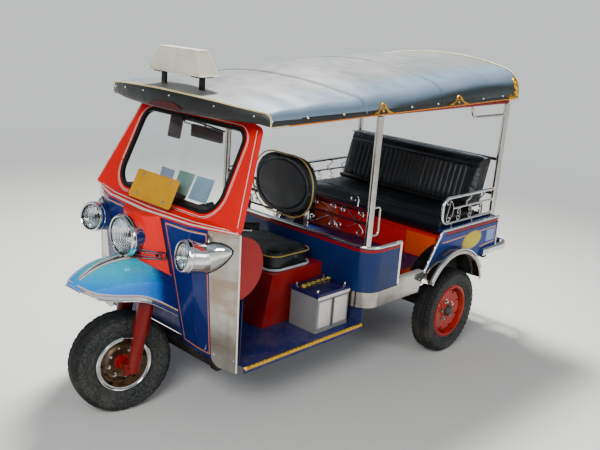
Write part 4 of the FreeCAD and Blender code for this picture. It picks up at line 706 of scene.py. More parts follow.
def make_sky():
    """Dim even light, and a graded sky that only shows in reflections and behind the object."""
    world = bpy.data.worlds.new("studio")
    bpy.context.scene.world = world
    world.use_nodes = True
    world.node_tree.nodes.clear()
    sky = Nodes(world.node_tree)
    direction = sky.add("ShaderNodeTexCoord").outputs["Generated"]
    ramp = sky.add("ShaderNodeValToRGB", sky.add("ShaderNodeSeparateXYZ", direction).outputs[2])
    stops = ramp.color_ramp.elements
    stops[0].position, stops[0].color = 0.03, rgb(BACKDROP)
    stops[1].position, stops[1].color = 1.0, rgb("#6F8496")
    for position, colour in SKY_STOPS:
        stops.new(position).color = rgb(colour)
    shown = sky.add("ShaderNodeBackground", ramp.outputs[0], 1.0)
    lighting = sky.add("ShaderNodeBackground", AMBIENT_COLOUR, AMBIENT_STRENGTH)
    blend = sky.add("ShaderNodeMixShader", sky.backdrop_rays(), lighting.outputs[0], shown.outputs[0])
    sky.add("ShaderNodeOutputWorld", blend.outputs[0])


def make_studio():
    floor = bpy.data.objects.new("studio_floor", bpy.data.meshes.new("studio_floor"))
    corners = [(x * FLOOR_REACH, y * FLOOR_REACH, 0) for x, y in ((-1, -1), (1, -1), (1, 1), (-1, 1))]
    floor.data.from_pydata(corners, [], [(0, 1, 2, 3)])
    look = Look("studio_floor", Roughness=0.85, Specular_IOR_Level=0.2)
    look.set("Base_Color", look.mix(look.noise(0.6, 2), rgb("#E2E2DF"), rgb("#E7E7E4")))
    fade_to_backdrop(look)
    floor.data.materials.append(look.material)
    bpy.context.scene.collection.objects.link(floor)
    make_sky()
    for light in LIGHTS:
        area_light(*light)


make_studio()


# Canopy

# Roof sections: place along, half width, lower edge, shoulder height and radius, crown
ROOF_ROWS = (
    (-1.800, 0.616, 1.514, 1.560, 0.030, 1.636),
    (-1.320, 0.632, 1.524, 1.568, 0.060, 1.688),
    (-0.840, 0.638, 1.532, 1.576, 0.090, 1.750),
    (-0.360, 0.640, 1.542, 1.588, 0.120, 1.787),
    (0.120, 0.640, 1.552, 1.604, 0.150, 1.813),
    (0.620, 0.636, 1.562, 1.622, 0.165, 1.832),
)
ROOF_FRONT_Y = REAR_AXLE_Y - 1.785
ROOF_CORNER_Y = REAR_AXLE_Y - 1.610
ROOF_REAR_Y = REAR_AXLE_Y + 0.610
ROOF_BOWS_Y = (-1.010, -0.765, -0.545, -0.065, 0.415, 0.895, 1.295, 1.385)
CANOPY_THICK = 0.006
VALANCE_FOOT_Z = 1.543
ROOF_HALF = 0.66
REAR_BOW = 0.045
LINING_DEEP = 0.060
LINING_CHORD = 0.70
SAG = 0.009


def roof_row(y):
    """Section sizes at one place, on a smooth curve through the table's rows."""
    offset = y - REAR_AXLE_Y
    places = [row[0] for row in ROOF_ROWS]
    i = min(max(int(np.searchsorted(places, offset)) - 1, 0), len(places) - 2)
    span = places[i + 1] - places[i]
    t = (offset - places[i]) / span
    values = []
    for column in range(1, 6):
        p = [ROOF_ROWS[min(max(i + k, 0), len(places) - 1)][column] for k in (-1, 0, 1, 2)]
        m1 = (p[2] - p[0]) / 2 if i > 0 else p[2] - p[1]
        m2 = (p[3] - p[1]) / 2 if i < len(places) - 2 else p[2] - p[1]
        values.append((2 * t ** 3 - 3 * t * t + 1) * p[1] + (t ** 3 - 2 * t * t + t) * m1
                      + (3 * t * t - 2 * t ** 3) * p[2] + (t ** 3 - t * t) * m2)
    return values


def plan_y(x, corner_y, middle_y):
    """Bowed front or rear edge of the roof seen from above."""
    bow = abs(corner_y - middle_y)
    radius = (ROOF_HALF * ROOF_HALF + bow * bow) / (2 * bow)
    drop = radius - math.sqrt(radius * radius - x * x)
    return middle_y + math.copysign(drop, corner_y - middle_y)


def lower_z(x, row):
    """Height of the roof's curved underside at one place across."""
    _, low, _, _, crown = row
    top = crown - LINING_DEEP
    rise = top - low
    radius = (LINING_CHORD * LINING_CHORD + rise * rise) / (2 * rise)
    return top - (radius - math.sqrt(radius * radius - x * x))


SIDE_STEPS = 4
SHOULDER_STEPS = 12
CROWN_STEPS = 30


def half_section(y):
    """Points of the roof's outer face from its side edge to its crown, at one place along."""
    row = roof_row(y)
    half, _, shoulder, radius, crown = row
    inward = half - radius
    rise = crown - shoulder
    crown_r = (inward ** 2 + rise ** 2 - radius ** 2) / (2 * (rise - radius))
    tangent = math.atan2(crown_r - rise, inward)
    edge_z = min(lower_z(half, row), shoulder - 0.002)
    points = [(half, edge_z + (shoulder - edge_z) * k / SIDE_STEPS) for k in range(SIDE_STEPS)]
    for k in range(SHOULDER_STEPS):
        t = tangent * k / SHOULDER_STEPS
        points.append((inward + radius * math.cos(t), shoulder + radius * math.sin(t)))
    for k in range(CROWN_STEPS + 1):
        t = tangent + (math.pi / 2 - tangent) * k / CROWN_STEPS
        points.append((crown_r * math.cos(t), crown - crown_r + crown_r * math.sin(t)))
    return points


def sag(y, share):
    """How far the cloth hangs between two bows. share is 0 at the side edge and 1 on the crown."""
    for a, b in zip(ROOF_BOWS_Y, ROOF_BOWS_Y[1:]):
        if a <= y <= b:
            return SAG * math.sin(math.pi * (y - a) / (b - a)) ** 2 * share * min(1, (b - a) / 0.4)
    return 0.0


def ripple(x, y):
    broad = noise.noise(Vector((x * 3.1, y * 2.3, 4.7)))
    creases = noise.noise(Vector((x * 2.2 + y * 1.5, y * 11, 1.3)))
    return 0.0024 * broad + 0.0016 * creases


LENGTH_STEPS = 150


def canopy_rows():
    """Grid of the roof's outer face: from front to rear, across from left edge to right edge."""
    rows = []
    for r in range(LENGTH_STEPS + 1):
        u = r / LENGTH_STEPS
        nominal = ROOF_CORNER_Y + (ROOF_REAR_Y - ROOF_CORNER_Y) * u
        across = half_section(nominal)
        row = []
        for j, (x, _) in enumerate(across):
            for _ in range(2):
                front_y = plan_y(x, ROOF_CORNER_Y, ROOF_FRONT_Y)
                rear_y = plan_y(x, ROOF_REAR_Y - REAR_BOW, ROOF_REAR_Y)
                y = front_y * (1 - u) + rear_y * u
                x, z = half_section(y)[j]
            share = min(1, max(0, (j - SIDE_STEPS) / (SHOULDER_STEPS + 6)))
            row.append((x, y, z - sag(y, share), share))
        left = [Vector((x, y, z + ripple(x, y) * share)) for x, y, z, share in row]
        right = [Vector((-x, y, z + ripple(-x, y) * share))
                 for x, y, z, share in reversed(row[:-1])]
        rows.append(left + right)
    return rows


CANOPY = canopy_rows()
ACROSS = len(CANOPY[0])


def canopy_normal(r, c):
    along = CANOPY[min(r + 1, len(CANOPY) - 1)][c] - CANOPY[max(r - 1, 0)][c]
    across = CANOPY[r][min(c + 1, ACROSS - 1)] - CANOPY[r][max(c - 1, 0)]
    normal = across.cross(along).normalized()
    return normal if normal.z > 0 or abs(normal.z) < 0.2 and normal.x * CANOPY[r][c].x > 0 else -normal


def column_at(side, c):
    """Column of the canopy counted from its left edge for side 1, from its right edge for side -1."""
    return c if side > 0 else ACROSS - 1 - c


def offset_canopy(distance):
    return [[CANOPY[r][c] + canopy_normal(r, c) * distance for c in range(ACROSS)]
            for r in range(len(CANOPY))]


def make_canopy():
    pile = Pile()
    outer = offset_canopy(0)
    inner = offset_canopy(-CANOPY_THICK)
    pile.grid(outer, 0)
    pile.grid(inner, 1)
    for edge in (0, -1):
        pile.grid([[row[edge] for row in outer], [row[edge] for row in inner]], 1)
    for edge in (0, -1):
        pile.grid([outer[edge], inner[edge]], 1)
    canopy = pile.made("canopy_sheet", "chassis", [ROOF, LINING], 60)
    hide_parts("roof_canopy")
    return canopy


# Padding of the hanging bands: share of the height down, and how far it stands out
BAND_PADDING = ((0, 0.0), (0.1, 0.004), (0.3, 0.008), (0.55, 0.009), (0.8, 0.007), (0.95, 0.003), (1, -0.002))
BAND_THICK = 0.012
SIDE_BAND_REACH = 0.032
SIDE_BAND_PUFF = 0.0025
SIDE_BAND_PARTS = 6
LINING_HALF = 0.64


def valance_z(p):
    """Height of the roof's underside at a point on its front or rear lip."""
    return lower_z(min(abs(p.x), LINING_HALF), roof_row(p.y))


def hanging_band(r, way):
    """Rows of a padded band round one end of the roof. way points out of that end."""
    rows = []
    for share, puff in BAND_PADDING:
        row = []
        for p in CANOPY[r]:
            bottom = min(valance_z(p), VALANCE_FOOT_Z) if r == 0 else valance_z(p)
            row.append(Vector((p.x, p.y + way * puff, p.z + (bottom - p.z) * share)))
        rows.append(row)
    back = Vector((0, -way * BAND_THICK, 0))
    return rows + [[p + back for p in row] for row in (rows[-1], rows[0])]


def side_band(r, side):
    """Points of the flat side band at one canopy row, from the roof's edge inward."""
    found = []
    gone = 0.0
    for k in range(12):
        c = column_at(side, k)
        if found:
            gone += (CANOPY[r][c] - found[-1][0]).length
        if gone > SIDE_BAND_REACH and k > 2:
            break
        found.append((CANOPY[r][c], canopy_normal(r, c), gone))
    points = []
    for k in range(SIDE_BAND_PARTS + 1):
        want = found[-1][2] * (k / SIDE_BAND_PARTS)
        point, normal, _ = min(found, key=lambda q: abs(q[2] - want))
        points.append(point + normal * (SIDE_BAND_PUFF if 0 < k < SIDE_BAND_PARTS else 0.0))
    return points


def make_canopy_bands():
    """Padded band hanging from the front and rear lips, and the flat band along each side."""
    pile = Pile()
    pile.grid(hanging_band(0, -1), 0, wrap=True)
    pile.grid(hanging_band(len(CANOPY) - 1, 1), 0, wrap=True)
    for side in (1, -1):
        pile.grid([side_band(r, side) for r in range(len(CANOPY))], 0)
    return pile.made("canopy_band", "chassis", [ROOF_DARK], 60)


canopy_sheet = make_canopy()
canopy_band = make_canopy_bands()


def row_near(y):
    """Index of the canopy row whose side edge is nearest to one place along."""
    return min(range(len(CANOPY)), key=lambda r: abs(CANOPY[r][0].y - y))


def side_edge(y, side):
    """Point just above the roof's side edge at one place along."""
    return CANOPY[row_near(y)][column_at(side, 2)]


def front_lip(x):
    """Point on the roof's front lip nearest to one place across."""
    return min(CANOPY[0], key=lambda q: abs(q.x - x))


def make_canopy_trim():
    """Piping round the roof's edge, and the two seams across it with their stitches."""
    piping = Pile()
    for r, away in ((0, -0.004), (-1, 0.003)):
        piping.tube([p + Vector((0, away, 0.0)) for p in CANOPY[r]], 0.0045, 0, 10)
    cut = row_near(-0.74)
    for column in (0, -1):
        edge = [row[column] + Vector((0, 0, -0.001)) for row in CANOPY]
        piping.tube(edge[:cut], 0.0042, 0, 10)
        piping.tube(edge[cut - 1:], 0.0035, 1, 10)
    piping.made("canopy_piping", "chassis", [PIPING_CREAM, ORANGE_LINE])

    seams = Pile()
    for y in (-0.20, 0.48):
        r = row_near(y)
        for gap, lift, radius, sides in (
                (0, 0.0004, 0.0030, 8), (-1, 0.0002, 0.0009, 6), (1, 0.0002, 0.0009, 6)):
            line = [CANOPY[r + gap][c] + canopy_normal(r, c) * lift for c in range(3, ACROSS - 3)]
            seams.tube(line, radius, 0, sides)
    seams.made("canopy_seams", "chassis", [ROOF])


make_canopy_trim()


def valance_foot(x):
    """Lower edge of the front valance at one place across."""
    p = front_lip(x)
    bottom = lower_z(min(abs(x), LINING_HALF), roof_row(p.y))
    return Vector((x, p.y + 0.006, min(bottom, VALANCE_FOOT_Z)))


def make_canopy_soffit():
    """Dark lining from the front valance back to the top of the screen, with its red patch."""
    pile = Pile()
    upper, lower = [], []
    for share, drop in ((0, 0.004), (0.15, 0.0), (0.5, 0.004), (0.85, 0.006), (1, 0.004)):
        row = []
        for x in spread(-0.600, 0.600, 60):
            rear = Vector((x * 0.83, -0.772, 1.526))
            row.append(valance_foot(x).lerp(rear, share) + Vector((0, 0, drop)))
        upper.append([p + Vector((0, 0, 0.004)) for p in row])
        lower.append(row)
    pile.grid(upper + lower[::-1], 0, wrap=True)
    patch = []
    for share in (0.0, 0.5, 1.0):
        row = []
        for along in spread(0, 1, 40):
            reach = 0.036 * math.sin(math.pi * along) ** 0.5 * (0.75 + 0.35 * along)
            foot = valance_foot(-0.085 + 0.255 * along)
            row.append(foot + Vector((0, -0.0165 - 0.002 * share, 0.008 + reach * share)))
        patch.append(row)
    pile.grid(patch, 1)
    pile.made("canopy_front_soffit", "chassis", [ROOF_DARK, MAROON], 60)


make_canopy_soffit()


ORNAMENT_TOP_Z = 1.725
ORNAMENT_FORWARD = 0.105
ORNAMENT_PITCH = 0.030


def chevron(pile, side, y, half):
    """Two gold bars that rise to a point over a roof post, with a boss between their feet."""
    p = side_edge(y, side)
    base = Vector((p.x + side * 0.006, y, p.z - 0.002))
    for inset, radius in ((0.0, 0.0055), (0.018, 0.0035)):
        rise = ((0, half - inset * 1.6, 0), (-side * 0.004, half * 0.45, 0.016),
                (-side * 0.008, 0.012, 0.046 - inset))
        line = [base + Vector((x, -along, z)) for x, along, z in rise]
        line += [base + Vector(point) for point in reversed(rise)]
        pile.tube(smooth_path(line), radius, 0, 10)
    pile.dome(base + Vector((-side * 0.004, 0, 0.014)), (side, 0, 0.3), 0.009, 0.006)


def corner_casting(pile, side):
    """Gold bar with round bosses that wraps a rear corner of the roof."""
    last = len(CANOPY) - 3
    first = row_near(CANOPY[last][0].y - ORNAMENT_FORWARD)
    places = [(r, 2) for r in range(first, last, 2)]
    places += [(last, c) for c in range(2, SIDE_STEPS + SHOULDER_STEPS)]
    leaf = []
    for r, c in places:
        column = column_at(side, c)
        if CANOPY[r][column].z < ORNAMENT_TOP_Z:
            leaf.append((CANOPY[r][column], canopy_normal(r, column)))
    pile.tube([p + normal * 0.003 for p, normal in leaf], 0.0115, 0, 12)
    gone = 0.0
    for (p, normal), (q, _) in zip(leaf, leaf[1:]):
        gone += (q - p).length
        if gone > ORNAMENT_PITCH:
            pile.dome(p, normal, 0.021, 0.014, 0, 18)
            gone = 0.0


def make_canopy_fittings():
    """Studs along the bands, gold chevrons over the posts and gold castings at the rear corners."""
    studs = Pile()
    for side in (1, -1):
        for y in (-0.876, -0.631, -0.374, 0.17, 0.42, 0.90, 1.14):
            p = side_edge(y, side) + Vector((side * 0.002, 0, 0.016))
            studs.dome(p, (side, 0, 0.25), 0.0075, 0.006)
    for x in (-0.555, -0.36, -0.13, 0.08, 0.36, 0.555):
        studs.dome(front_lip(x) + Vector((0, -0.008, -0.024)), (0, -1, 0.1), 0.0050, 0.004)
    studs.made("canopy_studs", "chassis", [CHROME])

    gold = Pile()
    for side in (1, -1):
        for y, half in ((-0.072, 0.074), (0.640, 0.098)):
            chevron(gold, side, y, half)
        corner_casting(gold, side)
    gold.made("canopy_gold_trim", "chassis", [GOLD])


make_canopy_fittings()


# Cushions

def remeshed(node, voxel, shrink):
    """Copy of a node's solid, a little smaller, with even faces."""
    low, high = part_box(node)
    centre = (low + high) / 2
    mesh = NODES[node].data.copy()
    for v in mesh.vertices:
        for i in range(3):
            reach = (high[i] - low[i]) / 2
            v.co[i] = centre[i] + (v.co[i] - centre[i]) * (reach - shrink) / reach
    mesh.materials.clear()
    piece = bpy.data.objects.new(node + "_work", mesh)
    bpy.context.scene.collection.objects.link(piece)
    modifier = piece.modifiers.new("even", "REMESH")
    modifier.mode = "VOXEL"
    modifier.voxel_size = voxel
    soften = piece.modifiers.new("soften", "SMOOTH")
    soften.factor = 0.5
    soften.iterations = 8
    apply_modifiers(piece)
    return piece


def apply_modifiers(piece):
    graph = bpy.context.evaluated_depsgraph_get()
    mesh = bpy.data.meshes.new_from_object(piece.evaluated_get(graph))
    old = piece.data
    piece.modifiers.clear()
    piece.data = mesh
    bpy.data.meshes.remove(old)


PAD_PRESSURE = 4.0
PAD_FRAMES = 18


def inflate(piece, cap):
    """Blows the cushion up by cloth pressure, with each point's travel capped."""
    count = len(piece.data.vertices)
    before = np.empty(count * 3)
    piece.data.vertices.foreach_get("co", before)
    before = before.reshape(-1, 3)
    scene = bpy.context.scene
    cloth = piece.modifiers.new("cloth", "CLOTH")
    cloth.settings.quality = 4
    cloth.settings.mass = 0.2
    cloth.settings.tension_stiffness = 12
    cloth.settings.compression_stiffness = 12
    cloth.settings.shear_stiffness = 6
    cloth.settings.bending_stiffness = 1.5
    cloth.settings.use_pressure = True
    cloth.settings.uniform_pressure_force = PAD_PRESSURE
    cloth.settings.effector_weights.gravity = 0
    cloth.collision_settings.use_collision = False
    cloth.point_cache.frame_start = 1
    cloth.point_cache.frame_end = PAD_FRAMES
    for number in range(1, PAD_FRAMES + 1):
        scene.frame_set(number)
    graph = bpy.context.evaluated_depsgraph_get()
    blown = piece.evaluated_get(graph).to_mesh()
    after = np.empty(count * 3)
    blown.vertices.foreach_get("co", after)
    piece.evaluated_get(graph).to_mesh_clear()
    piece.modifiers.clear()
    scene.frame_set(1)
    move = after.reshape(-1, 3) - before
    length = np.linalg.norm(move, axis=1, keepdims=True)
    move *= np.minimum(1, cap / np.maximum(length, 1e-9))
    piece.data.vertices.foreach_set("co", (before + move).ravel())
    piece.data.update()


def keep_inside(piece, low, high):
    """Presses points that leave a box back to its faces."""
    co = np.empty(len(piece.data.vertices) * 3)
    piece.data.vertices.foreach_get("co", co)
    co = co.reshape(-1, 3)
    for i in range(3):
        co[:, i] = np.clip(co[:, i], low[i], high[i])
    piece.data.vertices.foreach_set("co", co.ravel())
    piece.data.update()


def cushion(name, node, voxel, shrink, cap, shape):
    """Pad made from a node's solid: blown up, kept in its box, then pressed in by shape."""
    piece = remeshed(node, voxel, shrink)
    inflate(piece, cap)
    low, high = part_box(node)
    keep_inside(piece, low, high + Vector((0, 0, 0.004)))
    piece.modifiers.new("finer", "SUBSURF").levels = 1
    piece.modifiers["finer"].render_levels = 1
    apply_modifiers(piece)
    normals = np.empty(len(piece.data.vertices) * 3)
    piece.data.vertex_normals.foreach_get("vector", normals)
    for v, normal in zip(piece.data.vertices, normals.reshape(-1, 3)):
        v.co = Vector(shape(v.co, normal))
    piece.data.materials.clear()
    piece.data.materials.append(SEAT)
    piece.data.polygons.foreach_set("use_smooth", [True] * len(piece.data.polygons))
    piece.data.update()
    piece.name = name
    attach(piece, "chassis")
    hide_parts(node)
    return piece


CHANNEL_W = 0.040
CHANNEL_HALF = 0.460


def dent(value, middle, width):
    """1 at the middle of a pressed line, falling smoothly to 0 beside it."""
    return math.exp(-((value - middle) / width) ** 2)


def dimples(x, y, z):
    """Slow unevenness of a padded face, from -1 to 1."""
    return noise.noise(Vector((x, y, z)))


def groove(x):
    """Depth share between two sewn channels at one place across the bench."""
    if abs(x) > CHANNEL_HALF + CHANNEL_W * 0.1:
        return 0.0
    phase = (x + CHANNEL_HALF) / CHANNEL_W
    return 1 - abs(math.sin(math.pi * phase)) ** 0.55


def backrest_shape(co, normal):
    """Sewn channels down the front face, a rolled top edge and a dip at the seam under it."""
    if normal[1] < -0.25:
        top_seam = dent(co.z, 1.150, 0.008)
        fade = min(1, max(0, (1.146 - co.z) / 0.020)) * min(1, max(0, (co.z - 0.885) / 0.03))
        depth = 0.0085 * groove(co.x) * fade + 0.005 * top_seam
        side_seam = 0.004 * dent(abs(co.x) - CHANNEL_HALF, 0.012, 0.005) * fade
        wave = 0.0016 * dimples(*(co * 9))
        return (co.x, co.y + depth + side_seam + wave, co.z)
    return (co.x, co.y, co.z)


def bench_shape(co, normal):
    """Sitting hollows, a seam along the front edge and soft wrinkles."""
    x, y, z = co
    if normal[2] > 0.4:
        hollow = 0.007 * math.exp(-(((abs(x) - 0.28) / 0.16) ** 2 + ((y - 0.93) / 0.13) ** 2))
        seam = 0.004 * dent(y, 0.775, 0.006)
        z -= hollow + seam - 0.0016 * dimples(x * 7, y * 7, 2)
    if normal[1] < -0.5:
        y += 0.0012 * dimples(x * 12, 1, z * 12)
        y += 0.003 * dent(z, 0.765, 0.006)
    return (x, y, z)


def driver_seat_shape(co, normal):
    x, y, z = co
    if normal[2] > 0.4:
        hollow = 0.010 * math.exp(-((x / 0.15) ** 2 + ((y + 0.28) / 0.11) ** 2))
        z -= hollow - 0.0015 * dimples(x * 9, y * 9, 5)
    return (x, y, z)


def driver_back_shape(co, normal):
    x, y, z = co
    reach = math.hypot(x / 0.25, (z - 1.065) / 0.185)
    if normal[1] < -0.3:
        y += 0.004 * dent(reach, 0.80, 0.03) - 0.006 * max(0, 1 - reach / 0.8)
        y += 0.0015 * dimples(x * 9, 3, z * 9)
    return (x, y, z)


bench_back = cushion("bench_backrest_pad", "bench_backrest", 0.0085, 0.006, 0.010, backrest_shape)
bench_seat = cushion("bench_seat_pad", "bench_cushion", 0.0085, 0.006, 0.012, bench_shape)
driver_seat = cushion("driver_seat_pad", "driver_cushion", 0.006, 0.006, 0.012, driver_seat_shape)
driver_back = cushion("driver_backrest_pad", "driver_backrest", 0.006, 0.005, 0.010, driver_back_shape)


def make_seat_piping():
    """Piping round the driver's pads, the bench's top bead and the rubber roll where its pads meet."""
    gold = Pile()
    pale = Pile()
    y = -0.127
    back = [(-0.246, y, 0.884), (0.246, y, 0.884), (0.246, y, 1.246), (-0.246, y, 1.246)]
    gold.tube(rounded(back, [0.166] * 4, 14), 0.0042, 0, 8, closed=True)
    for z, pile, size in ((0.742, gold, 0.0040), (0.664, pale, 0.0075)):
        pile.tube(level_ring(0.282, -0.443, -0.122, z, 0.068, 12), size, 0, 8, closed=True)
    top = [(-0.553, 1.180, 1.200), (-0.530, 1.173, 1.213), (0, 1.172, 1.216), (0.530, 1.173, 1.213),
           (0.553, 1.180, 1.200)]
    pale.tube(smooth_path(top, 0.012), 0.0045, 0, 8)
    joint = Pile()
    joint.tube(straight_path([(-0.560, 1.068, 0.888), (0.560, 1.068, 0.888)], 0.03), 0.016, 0, 14)
    joint.made("bench_joint_roll", "chassis", [RUBBER])
    gold.made("driver_seat_piping", "chassis", [PIPING_GOLD])
    pale.made("seat_edge_trim", "chassis", [PIPING_PALE])


make_seat_piping()


# Wheels

TYRE_STEPS = 240


def spokes(axis, count, start=0.0):
    """Even outward directions round a wheel's axis."""
    side = Vector((0, 0, 1)).cross(axis).normalized()
    other = axis.cross(side)
    return [side * math.cos(t + start) + other * math.sin(t + start) for t in angles(count)]


def ring_of(centre, axis, radius, count, start=0.0):
    """Evenly spaced places round an axis."""
    return [centre + away * radius for away in spokes(axis, count, start)]


def rear_hub(side):
    return Vector((side * REAR_HUB_X, REAR_AXLE_Y, REAR_TYRE_R))


def tyre_mesh(pile, hub, axis, radius, rim, blocks):
    """Tyre with a rounded section, sidewall rings and a moulded tread."""
    wall = [(rim + 0.0005, 0.36, 0), (rim + 0.010, 0.385, 0), (rim + 0.016, 0.375, 0), (rim + 0.022, 0.43, 0),
            (rim + 0.034, 0.462, 0), (rim + 0.038, 0.455, 0), (0.70 * radius + 0.012, 0.485, 0),
            (0.76 * radius, 0.497, 0), (0.83 * radius, 0.494, 0), (0.87 * radius, 0.484, 0)]
    shoulder = [(radius - 0.025, 0.476, 1), (radius - 0.017, 0.462, 1), (radius - 0.009, 0.430, 1),
                (radius - 0.0045, 0.385, 1)]
    tread = [(radius - 0.0032, 0.335, 1)]
    for middle in (0.27, 0.135):
        top = radius - 0.0035 * (middle / 0.3) ** 2
        tread += [(top, middle + 0.028, 0), (top - 0.006, middle + 0.022, 0),
                  (top - 0.006, middle - 0.018, 0), (top + 0.0005, middle - 0.026, 0)]
    tread += [(radius, 0.02, 0)]
    half = wall + shoulder + tread
    profile = [(r, -s * TYRE_W, cut) for r, s, cut in half]
    profile += [(r, s * TYRE_W, cut) for r, s, cut in reversed(half)]
    pitch, sunk = (5, 0.006) if blocks else (8, 0.0025)
    rows = []
    for i, away in enumerate(spokes(axis, TYRE_STEPS)):
        row = []
        for r, along, cut in profile:
            if cut and i % pitch < 2:
                r -= sunk
                along *= 1 - sunk * 0.5 / TYRE_W
            row.append(hub + axis * along + away * r)
        rows.append(row)
    walls = [0] * len(wall)
    pile.grid(rows, walls + [1] * (len(profile) - 1 - 2 * len(wall)) + walls, wrap=True)
    pile.grid([[row[0], row[-1]] for row in rows], 0, wrap=True)


def make_tyres():
    tyres = [("front_tyre", "front_wheel", FRONT_HUB, FRONT_WHEEL_AXIS.normalized(),
              FRONT_TYRE_R, 0.133, False)]
    for name, side in (("left", 1), ("right", -1)):
        tyres.append(("rear_tyre_" + name, "rear_wheel_" + name, rear_hub(side), Vector((side, 0, 0)),
                      REAR_TYRE_R, 0.160, True))
    for name, body, hub, axis, radius, rim, blocks in tyres:
        pile = Pile()
        tyre_mesh(pile, hub, axis, radius, rim, blocks)
        piece = pile.made(name + "_moulded", body, [SIDEWALL, TREAD], 30)
        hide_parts(name)


make_tyres()


def make_front_wheel():
    """Bronze disc wheel with a chrome trim ring, wheel nuts and a dark red drum."""
    pile = Pile()
    hub, axis = FRONT_HUB, FRONT_WHEEL_AXIS
    inner_rim = [(0.1325, -0.049), (0.144, -0.0495), (0.145, -0.053), (0.134, -0.054), (0.127, -0.045),
                 (0.124, -0.010), (0.114, -0.006)]
    well = [(0.114, -0.006), (0.114, 0.008), (0.124, 0.012), (0.126, 0.040), (0.1325, 0.049)]
    trim_ring = [(0.1325, 0.049), (0.143, 0.050), (0.1455, 0.054), (0.1445, 0.058), (0.140, 0.0605),
                 (0.136, 0.0585), (0.133, 0.054), (0.131, 0.0545), (0.129, 0.0575), (0.1255, 0.0575),
                 (0.1235, 0.053), (0.1235, 0.042), (0.118, 0.030), (0.114, 0.018)]
    disc = [(0.116, 0.016), (0.106, 0.012), (0.098, 0.016), (0.088, 0.028), (0.076, 0.032), (0.062, 0.026),
            (0.052, 0.0225), (0.040, 0.0225)]
    disc_back = [(0.116, 0.012), (0.100, 0.006), (0.070, 0.018), (0.040, 0.014)]
    for profile, look in ((inner_rim, 2), (well, 1), (trim_ring, 0), (disc, 1), (disc_back, 1)):
        pile.lathe(profile, hub, axis, look, 96)
    for centre in ring_of(hub + axis * 0.0285, axis, 0.074, 8, 0.2):
        pile.bolt(centre, axis, 0.0075, 0.012, 0)
    # Black cups at the disc's twelve holes: painted shade for the dark inside each hole.
    hole = [(0.0055, -0.003), (0.0055, 0.0015), (0.004, 0.0022), (0.004, -0.002), (0, -0.002)]
    for centre in ring_of(hub + axis * 0.019, axis, 0.1035, 12, 0.1):
        pile.lathe(hole, centre, axis, 3, 14)
    drum = [(0.013, -0.046), (0.040, -0.048), (0.060, -0.040), (0.062, -0.032), (0.062, 0.008),
            (0.056, 0.014), (0.040, 0.020), (0.031, 0.024), (0.028, 0.034), (0.022, 0.044), (0.0125, 0.044)]
    pile.lathe(drum, hub, axis, 2, 72)
    for along in (-0.024, -0.014, -0.004):
        rib = [(0.0615, along - 0.002), (0.0655, along - 0.001), (0.0655, along + 0.001),
               (0.0615, along + 0.002)]
        pile.lathe(rib, hub, axis, 2, 72)
    piece = pile.made("front_wheel_disc", "front_wheel", [CHROME, BRONZE, DARK_RED, BLACK], 35)
    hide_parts("front_rim")


make_front_wheel()


def make_rear_wheel_trim():
    """Wheel nuts, grease cap, valve and the raised ring of each rear disc."""
    cap = [(0.034, 0.030), (0.036, 0.046), (0.030, 0.056), (0.018, 0.060), (0, 0.061)]
    ring = [(0.1515, 0.046), (0.1535, 0.0545), (0.158, 0.0565), (0.163, 0.0565), (0.1655, 0.053),
            (0.1655, 0.050)]
    for name, side in (("left", 1), ("right", -1)):
        hub = rear_hub(side)
        axis = Vector((side, 0, 0))
        pile = Pile()
        for centre in ring_of(hub + axis * 0.0235, axis, 0.060, 5, 0.5):
            pile.bolt(centre, axis, 0.0095, 0.014, 0)
        pile.lathe(cap, hub, axis, 1, 40)
        pile.lathe(ring, hub, axis, 2, 96)
        stem = hub + Vector((0, 0.052, -0.136)) + axis * 0.040
        valve = [stem + axis * out + Vector((0, y, z))
                 for out, y, z in ((0, 0, 0), (0.014, -0.002, 0.004), (0.022, -0.004, 0.010))]
        pile.tube(valve, 0.0035, 1, 8)
        pile.made("rear_wheel_trim_" + name, "rear_wheel_" + name, [STEEL, BLACK, WHEEL_RED])


make_rear_wheel_trim()


# Painted lines, as thin coats on the panels

def frame_lines(z):
    """Places across the leg shield for its pinstripe frame at one height."""
    nose, crease, strip, _ = shield(z)
    inner = nose + (crease - nose).normalized() * 0.026
    outer = strip + (crease - strip).normalized() * 0.010
    return inner, crease, outer


FRONT = Vector((0, -1, 0.05))
SURROUND_LIFT = 0.0014


def ledge_y(x):
    """Front of the screen surround's ledge at one place across."""
    return FRONT_AXLE_Y + float(np.interp(abs(x), (0.0, 0.335, 0.440, 0.583), (0.100, 0.134, 0.172, 0.246)))


def nose_arc_y(x, z):
    """Front of the nose panel at one place across and up, an arc between its two edges."""
    edge = shield(z)[0]
    middle = FRONT_AXLE_Y + 0.045
    return middle + (edge.y - middle) * min(1, (x / edge.x) ** 2)


def make_nose_top_cap():
    """Red top of the nose, closing the gap between its bowed upper edge and the screen's ledge."""
    pile = Pile()
    rows = []
    z = 1.039
    half = shield(z)[0].x
    for share, rise in ((0, -0.006), (0.04, -0.001), (0.15, 0.003), (0.5, 0.006), (0.85, 0.004), (1, 0.002)):
        row = []
        for x in spread(-half, half, 40):
            front = nose_arc_y(x, z) - 0.001
            rear = max(front + 0.002, ledge_y(x) + 0.004)
            row.append(Vector((x, front + (rear - front) * share, z + rise)))
        rows.append(row)
    under = [[p - Vector((0, 0, 0.003)) for p in row] for row in rows]
    pile.grid(rows + under[::-1], 0, wrap=True)
    pile.made("nose_top_cap", "chassis", [RED], 60)


make_nose_top_cap()


def shield_bead(name, look, corner, move, heights, radius):
    """Round bead down both sides, along one corner of the leg shield."""
    pile = Pile()
    for line in both_ways([shield(z)[corner] + Vector(move) for z in heights]):
        pile.tube(line, radius, 0, 10)
    pile.made(name, "chassis", [look])


